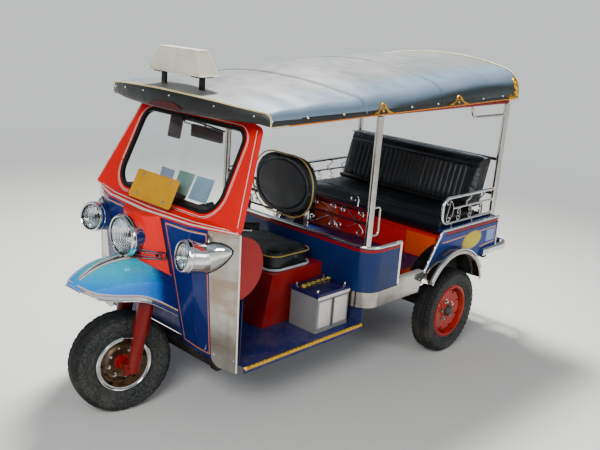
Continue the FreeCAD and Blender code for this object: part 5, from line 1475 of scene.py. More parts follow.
def make_shield_lines():
    pile = Pile()
    top_z, low_z = 1.020, 0.392
    heights = spread(top_z, low_z, 60)
    for inset, width, look in ((0.0, 0.0045, 0), (0.0050, 0.0022, 1)):
        shift = Vector((inset, 0, 0))
        lines = []
        for z, away in ((top_z, -inset), (low_z, inset)):
            inner, crease, outer = (p + Vector((0, 0, away)) for p in frame_lines(z))
            lines.append(straight_path([inner + shift, crease, outer - shift]))
        lines.append([frame_lines(z)[0] + shift for z in heights])
        lines.append([frame_lines(z)[2] - shift for z in heights])
        for line in lines[:1] if look else lines:
            for way in both_ways(line):
                ribbon(pile, "leg_shields", way, width, FRONT, look)
    pile.made("shield_pinstripes", "chassis", [ORANGE_LINE, WHITE_LINE])
    nose_edge = spread(1.038, 0.745, 59)
    outer_edge = spread(1.040, 0.342, 69)
    shield_bead("nose_edge_rubber", RUBBER, 0, (-0.002, -0.001, 0), nose_edge, 0.0042)
    shield_bead("shield_edge_beading", WHITE_LINE, 3, (0.001, 0.001, 0), outer_edge, 0.0040)


make_shield_lines()


def screen_loop(half_low, low, half_high, high, radii):
    corners = [screen_point(-half_low, low), screen_point(half_low, low), screen_point(half_high, high),
               screen_point(-half_high, high)]
    return rounded(corners, radii, 14)


def dense(line, step=0.008):
    """Closed outline with even points."""
    return straight_path(list(line) + [line[0]], step)[:-1]


def make_surround_lines():
    pile = Pile()
    for grow, width in ((0.030, 0.0036), (0.0385, 0.0020)):
        top = 0.470 + min(grow, 0.028)
        radii = [0.110 + grow, 0.110 + grow, 0.062 + grow, 0.062 + grow]
        loop = dense(screen_loop(0.405 + grow, 0.048 - grow, 0.398 + grow, top, radii))
        loop = [p for p in loop if p.z > screen_point(0, 0.0215).z or abs(p.x) > 0.30]
        ribbon(pile, "windscreen_surround", loop, width, SCREEN_OUT, lift=SURROUND_LIFT)
    for side in (1, -1):
        edge = straight_path([screen_point(side * 0.578, 0.030), screen_point(side * 0.463, 0.490)])
        ribbon(pile, "windscreen_surround", edge, 0.0042, SCREEN_OUT, lift=SURROUND_LIFT)
    for z, width in ((1.046, 0.0048), (1.0545, 0.0022)):
        ledge = [Vector((x, FRONT_AXLE_Y + away, z))
                 for x, away in ((0.0, 0.100), (0.335, 0.134), (0.440, 0.172), (0.577, 0.243))]
        for way in both_ways(straight_path(ledge)):
            ribbon(pile, "windscreen_surround", way, width, FRONT, lift=SURROUND_LIFT)
    pile.made("surround_pinstripes", "chassis", [WHITE_LINE])


make_surround_lines()


# Fender sections: place from the axle, half width, edge height, crown height
FENDER_ROWS = (
    (-0.267, 0.062, 0.712, 0.728), (-0.205, 0.128, 0.686, 0.768), (-0.120, 0.170, 0.672, 0.806),
    (-0.025, 0.190, 0.656, 0.820), (0.065, 0.196, 0.618, 0.822), (0.215, 0.200, 0.520, 0.812),
)


def fender_edge():
    """Lower edge of the fender on one side, smoothed through the sections."""
    points = [Vector((half, FRONT_AXLE_Y + y, edge)) for y, half, edge, _ in FENDER_ROWS]
    return smooth_path(points, 0.006)


def spear(t, narrow, wide):
    """Width of a spear-shaped band at a share of its length."""
    return narrow + (wide - narrow) * min(1, t * 1.15) ** 0.8


def make_fender_trim():
    """Bands and beads round the fender's lower edge, and the dark spear down its middle."""
    edge = fender_edge()
    tree = surface_of("front_fender")
    lines = Pile()
    chrome = Pile()
    rear_end = FRONT_AXLE_Y + 0.205

    def wall_line(rise):
        found = []
        for p in edge:
            hit = tree.ray_cast(Vector((p.x + 0.06, p.y, p.z + rise)), Vector((-1, 0, 0)), 0.3)[0]
            if hit is not None and p.y < rear_end:
                found.append(hit)
        return smooth_path(found[::3] + [found[-1]], 0.005)

    def outward(p):
        return Vector((math.copysign(1, p.x), -0.25, 0.35))

    for rise, width, pile, look in (
            (0.009, 0.015, chrome, 0), (0.0215, 0.0036, lines, 0), (0.0262, 0.0026, lines, 1)):
        for way in both_ways(wall_line(rise)):
            ribbon(pile, "front_fender", way, width, outward, look)
    for bead in both_ways([p + Vector((0.0005, 0, -0.003)) for p in edge if p.y < rear_end]):
        chrome.tube(bead, 0.0042, 0, 10)
    front = [Vector((x, FRONT_AXLE_Y - 0.2672, 0.711)) for x in (-0.062, -0.03, 0.0, 0.03, 0.062)]
    chrome.tube(front, 0.0042, 0, 10)

    top = Vector((0, -0.45, 0.9))
    parts = 60
    middle = [Vector((0, y, 0.80)) for y in spread(FRONT_AXLE_Y - 0.262, FRONT_AXLE_Y + 0.085, parts)]
    dark, white, gold = (0.003, 0.036), (0.004, 0.022), (0.0022, 0.0034)
    ribbon(chrome, "front_fender", middle, lambda t: spear(t, *dark), top, 1)
    for side in (1, -1):
        for band, inside, look in ((white, (0, 0), 1), (gold, white, 0)):
            line = []
            for k, p in enumerate(middle):
                t = k / parts
                shift = spear(t, *dark) / 2 + spear(t, *inside) + spear(t, *band) / 2
                line.append(Vector((side * shift, p.y, p.z)))
            ribbon(lines, "front_fender", line, lambda t, b=band: spear(t, *b), top, look)
    chrome.tube([on_face("front_fender", p, top, 0.0016) for p in middle], 0.0030, 0, 8)
    lines.made("fender_pinstripes", "chassis", [YELLOW_LINE, WHITE_LINE])
    chrome.made("fender_brightwork", "chassis", [CHROME, DARK_CHROME])


make_fender_trim()


def make_nose_ornament():
    """Double chrome loop standing off the nose beside the centre headlamp, on three posts."""
    pile = Pile()
    middle_x, middle_z, slope = 0.066, 0.850, 0.10
    post = [(0.004, 0.016), (0.004, -0.002), (0.0062, -0.003), (0.0062, -0.006), (0, -0.007)]

    def place(x, z):
        y = nose_arc_y(middle_x + x, middle_z) - 0.014
        return Vector((middle_x + x, y, middle_z + z - slope * x))

    for half, high, radius in ((0.100, 0.021, 0.0042), (0.084, 0.0095, 0.0030)):
        ring = []
        for t in angles(72):
            bulge = max(-1, min(1, 1.6 * math.cos(t)))
            ring.append(place((half - high) * bulge + high * math.cos(t), high * math.sin(t)))
        pile.tube(ring, radius, 0, 10, closed=True)
    for x in (-0.070, 0.0, 0.070):
        pile.lathe(post, place(x, 0.0), (0, 1, 0), 0, 16)
    pile.made("nose_loop_ornament", "chassis", [DARK_CHROME])


make_nose_ornament()


# Lamps

def lamp_front(glasses, metals, centre, axis, radius, depth):
    """Bezel rings, domed fluted lens, dished reflector and bulb. axis points back into the lamp."""
    out = -Vector(axis).normalized()
    lens_r = radius - 0.0142
    quarter = spread(0, math.pi / 2, 12)

    def dome(thinner, back, turns):
        return [((lens_r - thinner) * math.sin(t), (depth - thinner) * math.cos(t) - back) for t in turns]

    rim = [(lens_r, -0.009), (lens_r - 0.003, -0.010)]
    glasses.lathe(dome(0, 0.007, quarter) + rim + dome(0.003, 0.009, quarter[-2::-1]), centre, out, 0, 72)
    bezel = [(lens_r + 0.003, -0.004), (lens_r + 0.0035, 0.001), (lens_r + 0.007, 0.0035),
             (lens_r + 0.0105, 0.0015), (lens_r + 0.012, -0.004)]
    seal = [(lens_r - 0.0005, -0.006), (lens_r + 0.0008, -0.0015), (lens_r + 0.0032, -0.0020),
            (lens_r + 0.0038, -0.006)]
    bowl = [(0.012, -0.046), (0.030, -0.043), (0.048, -0.034), (lens_r * 0.8, -0.022),
            (lens_r - 0.002, -0.011)]
    bulb = [(0, -0.022), (0.008, -0.023), (0.011, -0.028), (0.011, -0.046)]
    for profile, look, steps in ((bezel, 0, 96), (seal, 1, 96), (bowl, 2, 72), (bulb, 1, 24)):
        metals.lathe(profile, centre, out, look, steps)


SIDE_LAMP_FACE = Vector((0.389, FRONT_AXLE_Y + 0.066, 0.921))
SIDE_LAMP_AXIS = Vector((0.22, 0.96, -0.16)).normalized()


def make_lamps():
    glasses = Pile()
    metals = Pile()
    centre = Vector((0, FRONT_AXLE_Y - 0.005, 0.928))
    lamp_front(glasses, metals, centre, (0, 1, 0), 0.104, 0.020)
    outer_band = [(0.0795, 0.022), (0.0815, 0.024), (0.0815, 0.028), (0.0800, 0.030)]
    for side in (1, -1):
        face = flipped(SIDE_LAMP_FACE, side)
        way = flipped(SIDE_LAMP_AXIS, side)
        lamp_front(glasses, metals, face, way, 0.078, 0.015)
        metals.lathe(outer_band, face, way, 0, 72)
    centre_band = [(0.1045, 0.016), (0.1075, 0.018), (0.1075, 0.024), (0.1045, 0.026)]
    metals.lathe(centre_band, centre, (0, 1, 0), 0, 96)
    metals.bolt(centre + Vector((0, -0.001, -0.1035)), (0, -1, -0.4), 0.0045, 0.006, 0)
    lens = glasses.made("lamp_lens_glass", "chassis", [LENS], 50)
    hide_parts("lamp_lenses")
    metals.made("lamp_bezels", "chassis", [CHROME, RUBBER, MIRROR])


make_lamps()


# Bullet lamp's outer face: radius, and distance back from its rim
BULLET_PROFILE = ((0.074, 0.0), (0.078, 0.005), (0.080, 0.030), (0.076, 0.090), (0.062, 0.170),
                  (0.038, 0.235), (0.012, 0.275), (0.0, 0.285))


def inside_bullet(point):
    along = (point - SIDE_LAMP_FACE).dot(SIDE_LAMP_AXIS)
    radial = (point - SIDE_LAMP_FACE - SIDE_LAMP_AXIS * along).length
    radius = np.interp(along, [q[1] for q in BULLET_PROFILE], [q[0] for q in BULLET_PROFILE], right=0.0)
    return radial < radius


def panel_point(x, z):
    """Point on the front of the leg shield or its bright strip."""
    line = shield(z)
    return Vector((x, float(np.interp(x, [q.x for q in line], [q.y for q in line])), z))


# Each bullet's tail, lying on the bright strip: length outward, half height, depth off the panel
TAIL_START = Vector((0.425, 0, 0.897))
TAIL_LENGTH = 0.128
TAIL_HALF = 0.074
TAIL_DEEP = 0.052
TAIL_RISE = 0.45
GASKET_SEARCH = 0.20
GASKET_STEP = 0.0008


def tail_middle(share):
    """Height of the tail's middle line at a share of its length."""
    return TAIL_START.z + TAIL_LENGTH * TAIL_RISE * share


def inside_tail(x, z):
    share = (x - TAIL_START.x) / TAIL_LENGTH
    return 0 <= share < 1 and abs(z - tail_middle(share)) < TAIL_HALF * (1 - share ** 2) ** 0.7


def make_lamp_tails():
    """Chrome tail that carries each bullet on along its panel to a point."""
    pile = Pile()
    out = Vector((0.38, -0.92, 0.05)).normalized()
    rows = []
    for k in range(33):
        share = min(0.999, k / 32)
        full = (1 - share ** 2) ** 0.7
        row = []
        for j in range(25):
            t = math.pi * (j / 24 - 0.5)
            z = tail_middle(share) + TAIL_HALF * full * math.sin(t)
            p = panel_point(TAIL_START.x + TAIL_LENGTH * share, z)
            row.append(p + out * (TAIL_DEEP * full * math.cos(t) - 0.002))
        rows.append(row)
    for side in (1, -1):
        pile.grid([[flipped(p, side) for p in row] for row in rows], 0)
    pile.made("headlamp_tails", "chassis", [CHROME], 50)


make_lamp_tails()


def make_lamp_gaskets():
    """Black rubber where each chrome bullet and its tail meet their panel."""
    centre = panel_point(0.425, 0.893)
    ring = []
    for t in angles(120):
        reach = found = 0.0
        while reach < GASKET_SEARCH:
            x, z = centre.x + math.cos(t) * reach, centre.z + math.sin(t) * reach
            if inside_bullet(panel_point(x, z)) or inside_tail(x, z):
                found = reach
            reach += GASKET_STEP
        point = panel_point(centre.x + math.cos(t) * found, centre.z + math.sin(t) * found)
        ring.append(point + Vector((0, -0.0015, 0)))
    pile = Pile()
    for line in both_ways(ring):
        pile.tube(line, 0.0042, 0, 8, closed=True)
    pile.made("lamp_gaskets", "chassis", [RUBBER])


make_lamp_gaskets()


# Number plate, screen and cab front

def on_plate(x, up):
    rise = Vector((0, math.sin(SCREEN_RAKE), math.cos(SCREEN_RAKE)))
    return screen_point(0, -0.006, 0.075) + Vector((x, 0, 0)) + rise * up


def make_plate_details():
    pile = Pile()
    corners = ((-0.163, 0.009), (0.163, 0.009), (0.163, 0.141), (-0.163, 0.141))
    border = rounded([on_plate(x, up) for x, up in corners], [0.010] * 4, 6)
    pile.tube(dense(border, 0.012), 0.0022, 0, 8, closed=True)
    for x in (-0.110, 0.110):
        for up in (0.026, 0.126):
            pile.bolt(on_plate(x, up), SCREEN_OUT, 0.0055, 0.005, 1)
    pile.made("number_plate_details", "chassis", [PLATE, STEEL])


make_plate_details()


def make_cards():
    """Three blank papers standing behind the windscreen."""
    for name, look, corners in (
            ("card_first", CARD_LILAC, ((-0.112, 0.198), (-0.004, 0.196), (0.008, 0.110), (-0.096, 0.108))),
            ("card_second", CARD_GREEN, ((0.030, 0.206), (0.157, 0.208), (0.152, 0.090), (0.040, 0.096))),
            ("card_third", CARD_BLUE, ((0.172, 0.205), (0.304, 0.208), (0.304, 0.086), (0.166, 0.084)))):
        pile = Pile()
        outer = rounded([screen_point(x, up, -0.0145) for x, up in corners], [0.004] * 4, 4)
        centre = sum(outer, Vector()) / len(outer)
        back = [p - SCREEN_OUT * 0.0012 for p in outer]
        raised = [centre + (p - centre) * 0.94 + SCREEN_OUT * 0.0004 for p in outer]
        inner = [centre + (p - centre) * 0.90 for p in outer]
        pile.grid([outer, raised, inner], 0, loop=True)
        pile.add(inner, [list(range(len(outer)))], 0)
        pile.grid([outer, back], 0, loop=True)
        pile.add(back, [list(range(len(outer)))], 0)
        pile.made(name, "chassis", [look])


make_cards()


def make_mirror_and_dash():
    """Glass and rim of the interior mirror, and the round dial on the dashboard."""
    pile = Pile()
    low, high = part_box("interior_mirror")
    middle_z = low.z + 0.032
    case = level_ring(0.112, -0.026, 0.026, 0, 0.012, 6)
    face = [Vector((p.x, high.y + 0.0006, middle_z + p.y)) for p in case]
    rim = [Vector((p.x * 1.03, high.y - 0.001, middle_z + p.y * 1.1)) for p in case]
    pile.grid([rim, face], 1, loop=True)
    pile.add(face, [list(range(len(face)))], 0)
    pile.made("interior_mirror_glass", "chassis", [MIRROR, BLACK_PLASTIC])

    dash = Pile()
    axis = Vector((0, 0.983, 0.18)).normalized()
    base = Vector((0, -0.8665, 1.1095))
    bezel = [(0.046, -0.002), (0.048, 0.001), (0.046, 0.004), (0.042, 0.004), (0.041, 0.0015)]
    dash.lathe(bezel, base, axis, 0, 64)
    dash.lathe([(0.041, 0.0012), (0.0, 0.0012)], base, axis, 1, 64)
    for p in ring_of(base + axis * 0.0018, axis, 0.034, 24):
        dash.block(p - Vector((0.0006, 0.0002, 0.0025)), p + Vector((0.0006, 0.0004, 0.0025)), 2, 0.0002)
    needle = base + axis * 0.0026
    dash.tube([needle, needle + Vector((-0.018, 0, 0.016))], 0.0008, 3, 6)
    dash.made("dashboard_dial", "chassis", [CHROME, BLACK_PLASTIC, WHITE_LINE, RED])


make_mirror_and_dash()


def make_screen_fittings():
    """Wiper along the top of the glass, and the dark case hanging behind it."""
    pile = Pile()
    arm = [screen_point(-0.070, 0.462, 0.008), screen_point(0.080, 0.458, 0.013),
           screen_point(0.262, 0.446, 0.010)]
    pile.tube(smooth_path(arm, 0.01), 0.0042, 0, 10)
    blade = [screen_point(-0.060, 0.446, 0.006), screen_point(0.250, 0.430, 0.006)]
    pile.tube(straight_path(blade, 0.02), 0.0030, 0, 8)
    hub = [(0, 0.016), (0.009, 0.015), (0.011, 0.009), (0.011, -0.002)]
    pile.lathe(hub, screen_point(-0.070, 0.462), SCREEN_OUT, 0, 24)
    lean = Matrix.Rotation(-SCREEN_RAKE * 0.4, 4, "X")
    turn = Matrix.Translation(screen_point(-0.175, 0.430, -0.045)) @ lean
    pile.block((-0.046, -0.012, -0.068), (0.046, 0.012, 0.050), 1, 0.008, turn)
    pile.tube([screen_point(-0.175, 0.478, -0.045), screen_point(-0.175, 0.505, -0.030)], 0.005, 0, 10)
    pile.made("screen_fittings", "chassis", [BLACK, MAROON_PLASTIC])


make_screen_fittings()


def make_handlebar_trim():
    """Ribbed rubber grips, levers and their clamps on both ends of the bar."""
    grip = [(0.0, -0.003), (0.017, -0.003), (0.0205, 0.001), (0.0205, 0.005)]
    for k in range(13):
        s = 0.008 + k * 0.0084
        grip += [(0.0180, s), (0.0192, s + 0.0016), (0.0192, s + 0.0046), (0.0180, s + 0.0062)]
    grip += [(0.0195, 0.118), (0.0215, 0.121), (0.0215, 0.126), (0.0125, 0.127)]
    clamp = [(0.0125, 0.133), (0.020, 0.134), (0.020, 0.165), (0.0125, 0.167)]
    lever_bends = ((0.150, -0.012, 0.0), (0.140, -0.045, -0.004), (0.060, -0.058, -0.010),
                   (0.002, -0.050, -0.014))
    middle_y = STEERING_FOOT.y + (0.937 - STEERING_FOOT.z) * math.tan(STEER_RAKE)
    pile = Pile()
    for side in (1, -1):
        end = STEERED @ Vector((side * 0.262, middle_y + 0.478, 0.962))
        before = STEERED @ Vector((side * 0.190, middle_y + 0.320, 0.968))
        inward = (before - end).normalized()
        pile.lathe(grip, end, inward, 0, 28)
        lever = [end + inward * along + Vector((0, y, z)) for along, y, z in lever_bends]
        pile.tube(smooth_path(lever, 0.008), 0.0045, 1, 8)
        pile.dome(lever[-1], -inward, 0.0065, 0.005, 1)
        pile.lathe(clamp, end, inward, 1, 24)
    pile.made("handlebar_grips", "steering", [RUBBER, CHROME], 40)


make_handlebar_trim()


# Cab floor

# Tread zones: ranges of x and y, height, and the place left free for the battery
TREAD_ZONES = (
    (-0.575, 0.575, -0.890, -0.530, 0.356, None),
    (0.305, 0.575, -0.530, -0.010, 0.356, (0.316, 0.544, -0.349, -0.061)),
    (-0.575, -0.305, -0.530, -0.010, 0.356, None),
    (-0.500, 0.500, 0.000, 0.735, 0.560, None),
)
TREAD_PITCH = 0.026
TREAD_LONG = 0.0095
TREAD_WIDE = 0.0035
TREAD_HIGH = 0.0014


def add_diamond(pile, centre, turn):
    """One raised diamond of the tread plate."""
    along = Vector((math.cos(turn), math.sin(turn), 0)) * TREAD_LONG
    aside = Vector((-math.sin(turn), math.cos(turn), 0)) * TREAD_WIDE
    foot = Vector((0, 0, 0.0001))
    top = Vector((0, 0, TREAD_HIGH))
    points = [centre + way + foot for way in (-along, aside, along, -aside)]
    points += [centre + way + top for way in (-along * 0.55, aside * 0.5, along * 0.55, -aside * 0.5)]
    pile.add(points, [(0, 1, 5, 4), (1, 2, 6, 5), (2, 3, 7, 6), (3, 0, 4, 7), (4, 5, 6, 7)])


def make_floor_tread():
    """Raised diamonds of the tread plate in rows, turned alternately."""
    pile = Pile()
    for x0, x1, y0, y1, z, hole in TREAD_ZONES:
        for i in range(int((x1 - x0) / TREAD_PITCH)):
            for j in range(int((y1 - y0) / TREAD_PITCH)):
                x = x0 + (i + 0.5) * TREAD_PITCH
                y = y0 + (j + 0.5) * TREAD_PITCH
                if hole and hole[0] < x < hole[1] and hole[2] < y < hole[3]:
                    continue
                add_diamond(pile, Vector((x, y, z)), math.radians(45 if (i + j) % 2 else -45))
    pile.made("floor_tread_pattern", "chassis", [FLOOR_PLATE], 20)


ROPE_STRANDS = 3
ROPE_LONG = 0.890
ROPE_TWIST = 0.030
ROPE_REACH = 0.0045


def make_edge_rope():
    """Twisted edging along both sides of the cab floor."""
    rope = Pile()
    for side in (1, -1):
        for strand in range(ROPE_STRANDS):
            line = []
            for along in spread(0, ROPE_LONG, 520):
                t = 2 * math.pi * (along / ROPE_TWIST + strand / ROPE_STRANDS)
                x = 0.5905 + ROPE_REACH * math.cos(t)
                line.append(Vector((side * x, -0.900 + along, 0.3495 + ROPE_REACH * math.sin(t))))
            rope.tube(line, 0.0056, 1 if strand == 1 else 0, 6)
    rope.made("floor_edge_rope", "chassis", [YELLOW_LINE, GOLD], 60)


make_floor_tread()
make_edge_rope()


def make_battery_details():
    """Blue lid with its caps, pale panels, dark ribs, terminals and the carrying strap."""
    low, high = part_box("battery")
    pile = Pile()
    lid_z = 0.585
    side_x = 0.530
    lid_low = (low.x - 0.001, low.y - 0.001, lid_z - 0.024)
    pile.block(lid_low, (high.x + 0.001, high.y + 0.001, lid_z + 0.001), 1, 0.003)
    cap = [(0.0140, 0.0), (0.0145, 0.012), (0.0120, 0.0155), (0.006, 0.016), (0.005, 0.0135), (0, 0.0135)]
    for n in range(6):
        pile.lathe(cap, (0.400, REAR_AXLE_Y - 1.085 + 0.040 * n, lid_z), (0, 0, 1), 2, 24)
    near, far = low.y + 0.002, high.y - 0.002
    pile.block((high.x - 0.001, near, lid_z - 0.034), (high.x + 0.003, far, lid_z - 0.016), 5, 0.001)
    for y0, y1 in ((-0.318, -0.222), (-0.191, -0.088)):
        pile.block((side_x - 0.002, y0, 0.385), (side_x + 0.0012, y1, 0.535), 5, 0.0015)
    pile.block((side_x - 0.001, -0.2105, 0.358), (side_x + 0.0035, -0.2045, 0.560), 3, 0.001)
    pile.block((side_x - 0.002, near, 0.357), (side_x + 0.004, far, 0.372), 0, 0.002)
    terminal = [(0.009, 0), (0.0085, 0.018), (0.006, 0.020), (0, 0.020)]
    for x in (0.352, 0.508):
        for y in (low.y + 0.022, high.y - 0.022):
            pile.lathe(terminal, (x, y, lid_z), (0, 0, 1), 4, 20)
    strap = [Vector((x, y, lid_z + rise)) for x, y, rise in (
        (0.428, low.y + 0.020, 0), (0.440, low.y + 0.060, 0.020), (0.445, (low.y + high.y) / 2, 0.028),
        (0.440, high.y - 0.060, 0.020), (0.428, high.y - 0.020, 0))]
    pile.tube(smooth_path(strap, 0.01), 0.004, 3, 8)
    looks = [WHITE_CASE, BLUE_LID, YELLOW_CAP, BLACK_PLASTIC, STEEL, PALE_LABELS_AND_SILL_SHINE]
    pile.made("battery_details", "chassis", looks)


make_battery_details()


# Body sides and rear

def make_step_plates():
    """Polished plates on the passenger floor along both doorways."""
    floor_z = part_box("passenger_floor")[1].z
    pile = Pile()
    for side in (1, -1):
        heights = (floor_z - 0.0005, floor_z + 0.0025)
        side_block(pile, side, (0.500, 0.602), (0.236, 0.594), heights, 0, 0.001)
        for n in range(6):
            pile.dome((side * 0.514, 0.254 + 0.0644 * n, floor_z + 0.0025), (0, 0, 1), 0.004, 0.0018, 1, 12)
    pile.made("doorway_step_plates", "chassis", [SHEET, STEEL])


make_step_plates()


BODY_HALF = 0.640
TUB_FRONT_Y = -0.060
TUB_RADIUS = 0.110
TUB_REAR_Y = 0.223
TUB_BAND_Z = 0.7955
TUB_BAND_W = 0.0165
TUB_CORNER = Vector((BODY_HALF - TUB_RADIUS, TUB_FRONT_Y + TUB_RADIUS, 0))


def tub_line(z):
    """Outer plan of the tub from its middle round the left corner to the doorway."""
    line = [Vector((x, TUB_FRONT_Y, z)) for x in np.linspace(0.0, TUB_CORNER.x, 40)]
    for t in spread(0, math.pi / 2, 15)[1:-1]:
        x = TUB_CORNER.x + TUB_RADIUS * math.sin(t)
        line.append(Vector((x, TUB_CORNER.y - TUB_RADIUS * math.cos(t), z)))
    return line + [Vector((BODY_HALF, y, z)) for y in np.linspace(TUB_CORNER.y, TUB_REAR_Y, 18)]


def tub_out(p):
    if p.y < TUB_CORNER.y - 0.02 and abs(p.x) < TUB_CORNER.x:
        return Vector((0, -1, 0))
    if p.y > TUB_CORNER.y:
        return Vector((math.copysign(1, p.x), 0, 0))
    return Vector((p.x - math.copysign(TUB_CORNER.x, p.x), p.y - TUB_CORNER.y, 0))


def quarter_line(pile, side, places, step, width, look):
    """Painted line on a quarter panel, through places given along and up."""
    line = straight_path([Vector((side * BODY_HALF, y, z)) for y, z in places], step)
    ribbon(pile, "quarter_panels", line, width, Vector((side, 0, 0)), look)


def make_body_lines():
    """Bands round the tub, and the bands, frame and pale square on the quarter panels."""
    pile = Pile()
    for way in both_ways(tub_line(TUB_BAND_Z)):
        rows = []
        for p in way:
            face = p + tub_out(p).normalized() * LIFT
            rows.append([face + Vector((0, 0, TUB_BAND_W * s)) for s in (-0.5, 0, 0.5)])
        pile.grid(rows, 0)
    for side in (1, -1):
        quarter_line(pile, side, ((0.700, 0.788), (1.322, 0.788)), 0.02, 0.018, 0)
        quarter_line(pile, side, ((0.690, 0.774), (1.326, 0.774)), 0.02, 0.008, 2)
        for inset, width, look in ((0.0, 0.0042, 3), (0.0052, 0.0020, 1)):
            corners = [(0.655 + inset, 0.735 - inset), (1.300 - inset, 0.748 - inset),
                       (1.300 - inset, 0.640 + inset), (1.120, 0.628 + inset)]
            bent = rounded([Vector((0, y, z)) for y, z in corners], [0.004] * 4, 4, closed=False)
            quarter_line(pile, side, [(p.y, p.z) for p in bent], 0.01, width, look)
        quarter_line(pile, side, ((1.190, 0.694), (1.286, 0.694)), 0.012, 0.078, 4)
    looks = [DARK_RED, WHITE_LINE, NAVY, ORANGE_LINE, SILVER_BLUE]
    pile.made("body_colour_bands", "chassis", looks)


def make_ovals():
    """Yellow oval with a gold rim on each quarter panel, leaning a little with its height."""
    ovals = Pile()
    for sign in (1, -1):
        for reach, lift, look in ((1.0, 0.0009, 0), (0.86, 0.0016, 1)):
            rings = []
            for share in (1.0, 0.93, 0.6, 0.3, 0.02):
                size = reach * share
                rings.append([Vector((sign * (BODY_HALF + lift),
                                      1.008 + size * (0.116 * math.cos(t) + 0.012 * math.sin(t)),
                                      0.697 + size * 0.060 * math.sin(t))) for t in angles(64)])
            ovals.grid(rings, look, loop=True)
    ovals.made("quarter_ovals", "chassis", [PIPING_GOLD, OVAL_YELLOW])


make_body_lines()
make_ovals()


def doorway_edge(sign):
    """Front edge of a quarter panel, found by looking for its face at each height."""
    tree = surface_of("quarter_panels")
    edge = []
    for z in spread(0.575, 0.804, 39):
        for step in range(160):
            start = Vector((sign * 0.70, 0.490 + 0.002 * step, z))
            if tree.ray_cast(start, Vector((-sign, 0, 0)), 0.12)[0] is not None:
                edge.append(Vector((sign * BODY_HALF, start.y, z)))
                break
    return edge


def arch_lip(sign):
    """Lip of a rear fender, cut off where it meets the bumper behind and the skirt in front."""
    arch = []
    for degrees in spread(28, 152, 60):
        t = math.radians(degrees)
        y = 0.765 + 0.3275 * math.cos(t)
        z = 0.362 + 0.3275 * math.sin(t)
        if z > (0.452 if y > 0.765 else 0.532):
            arch.append(Vector((sign * 0.7085, y, z)))
    return arch


def make_body_brightwork():
    """Chrome edgings: doorway uprights, quarter front edges and tops, fender lips."""
    pile = Pile()
    for sign in (1, -1):
        x = sign * 0.6385
        corners = [(x, 0.2265, 0.566), (x, 0.2265, 0.822), (x, 0.180, 0.822)]
        post = rounded(corners, [0, 0.016, 0], 6, closed=False)
        pile.tube(straight_path(post, 0.01), 0.0085, 0, 12)
        edge = doorway_edge(sign)
        pile.tube(edge, 0.0085, 0, 12)
        x = sign * 0.6375
        pile.tube(straight_path([(x, edge[-1].y, 0.8085), (x, 1.327, 0.8085)], 0.02), 0.0080, 0, 12)
        pile.tube(straight_path([(x, 1.3295, 0.806), (x, 1.3295, 0.56)], 0.02), 0.0060, 0, 10)
        pile.tube(arch_lip(sign), 0.0045, 0, 10)
    pile.made("body_edge_brightwork", "chassis", [CHROME])

    # Pale plates on the sill tops: painted reflection, the polished sill shining in the sun.
    pads = Pile()
    for side in (1, -1):
        side_block(pads, side, (0.596, 0.6425), (0.228, 0.495), (0.5852, 0.5885), 0, 0.0014)
    pads.made("sill_tops_painted_reflection", "chassis", [PALE_LABELS_AND_SILL_SHINE])

    # Painted sunlight: orange patches on the red bench box's front, where sun falls on it.
    sunlit_patches = Pile()
    front_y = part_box("bench_box")[0].y
    for side in (1, -1):
        depth = (front_y + 0.017, front_y + 0.0195)
        side_block(sunlit_patches, side, (0.300, 0.522), depth, (0.566, 0.724), 0, 0.001)
    sunlit_patches.made("bench_box_painted_sunlight", "chassis", [SUNLIT_BENCH_RED])


make_body_brightwork()


def make_partition_paint():
    """Dark red coat over the partition's straight rails and uprights."""
    pile = Pile()
    y = -0.0340
    for z, radius in ((0.862, 0.0065), (0.945, 0.0095), (1.020, 0.0095)):
        pile.lathe([(radius, -0.574), (radius, 0.574)], (0, y, z), (1, 0, 0), 0, 20)
    pile.made("partition_rail_paint", "chassis", [MAROON])


make_partition_paint()


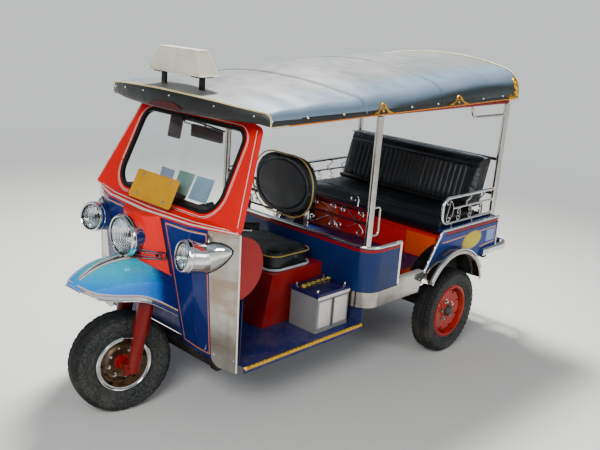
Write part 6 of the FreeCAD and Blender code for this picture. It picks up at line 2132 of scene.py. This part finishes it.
def make_fasteners():
    """Screws and bolts on the strips, skirts and bumper."""
    pile = Pile()

    def screw(node, point, out, radius, height):
        pile.dome(on_face(node, point, out, 0.0), out, radius, height)

    for side in (1, -1):
        for z in (0.40, 0.56, 0.72, 1.02):
            _, _, inner, outer = shield(z)
            for share in (0.12, 0.88):
                screw("shield_strips", flipped(inner.lerp(outer, share), side), (0, -1, 0), 0.0042, 0.0025)
        for y in (-0.01, 0.10, 0.20, 0.27, 0.36, 0.45):
            screw("sill_skirts", Vector((side * 0.642, y, 0.545)), (side, 0, 0), 0.0040, 0.0024)
        for z in (0.575, 0.79):
            pile.dome(Vector((side * 0.6405, 1.315, z)), (side, 0, 0), 0.0040, 0.0024)
    for x in (-0.42, 0.42):
        for z in (0.540, 0.572):
            pile.bolt(Vector((x, 1.3955, z)), (0, 1, 0), 0.006, 0.006)
    pile.made("panel_fasteners", "chassis", [CHROME])


make_fasteners()


def make_tail_lamps():
    """Chrome base, red lens and amber inset of each tail lamp, with two screws."""
    pile = Pile()
    for side in (1, -1):
        x = side * 0.500
        pile.block((x - 0.066, 1.342, 0.659), (x + 0.066, 1.3445, 0.731), 1, 0.001)
        pile.block((x - 0.063, 1.3662, 0.664), (x + 0.063, 1.3690, 0.726), 0, 0.0015)
        inner = x - side * 0.040
        pile.block((inner - 0.018, 1.3688, 0.668), (inner + 0.018, 1.3705, 0.722), 2, 0.0012)
        for z in (0.6625, 0.7275):
            pile.dome(Vector((x, 1.3445, z)), (0, 1, 0), 0.003, 0.002, 1)
    pile.made("tail_lamp_details", "chassis", [RED_PLASTIC, CHROME, AMBER_PLASTIC])


make_tail_lamps()


def make_roof_sign_details():
    """Beads round the sign's foot and top, and the bolts of its legs."""
    pile = Pile()
    y = REAR_AXLE_Y - 1.650
    for z, half, depth, radius in ((1.714, 0.2135, 0.0635, 0.0035), (1.828, 0.1500, 0.0340, 0.0025)):
        pile.tube(level_ring(half, y - depth, y + depth, z, 0.014, 6), radius, 0, 8, closed=True)
    for x in (0.150, -0.150):
        for away in (-0.034, 0.034):
            pile.bolt(Vector((x, y + away, 1.7035)), (0, 0, -1), 0.005, 0.004, 1)
    pile.made("roof_sign_details", "chassis", [CREAM, STEEL])


make_roof_sign_details()
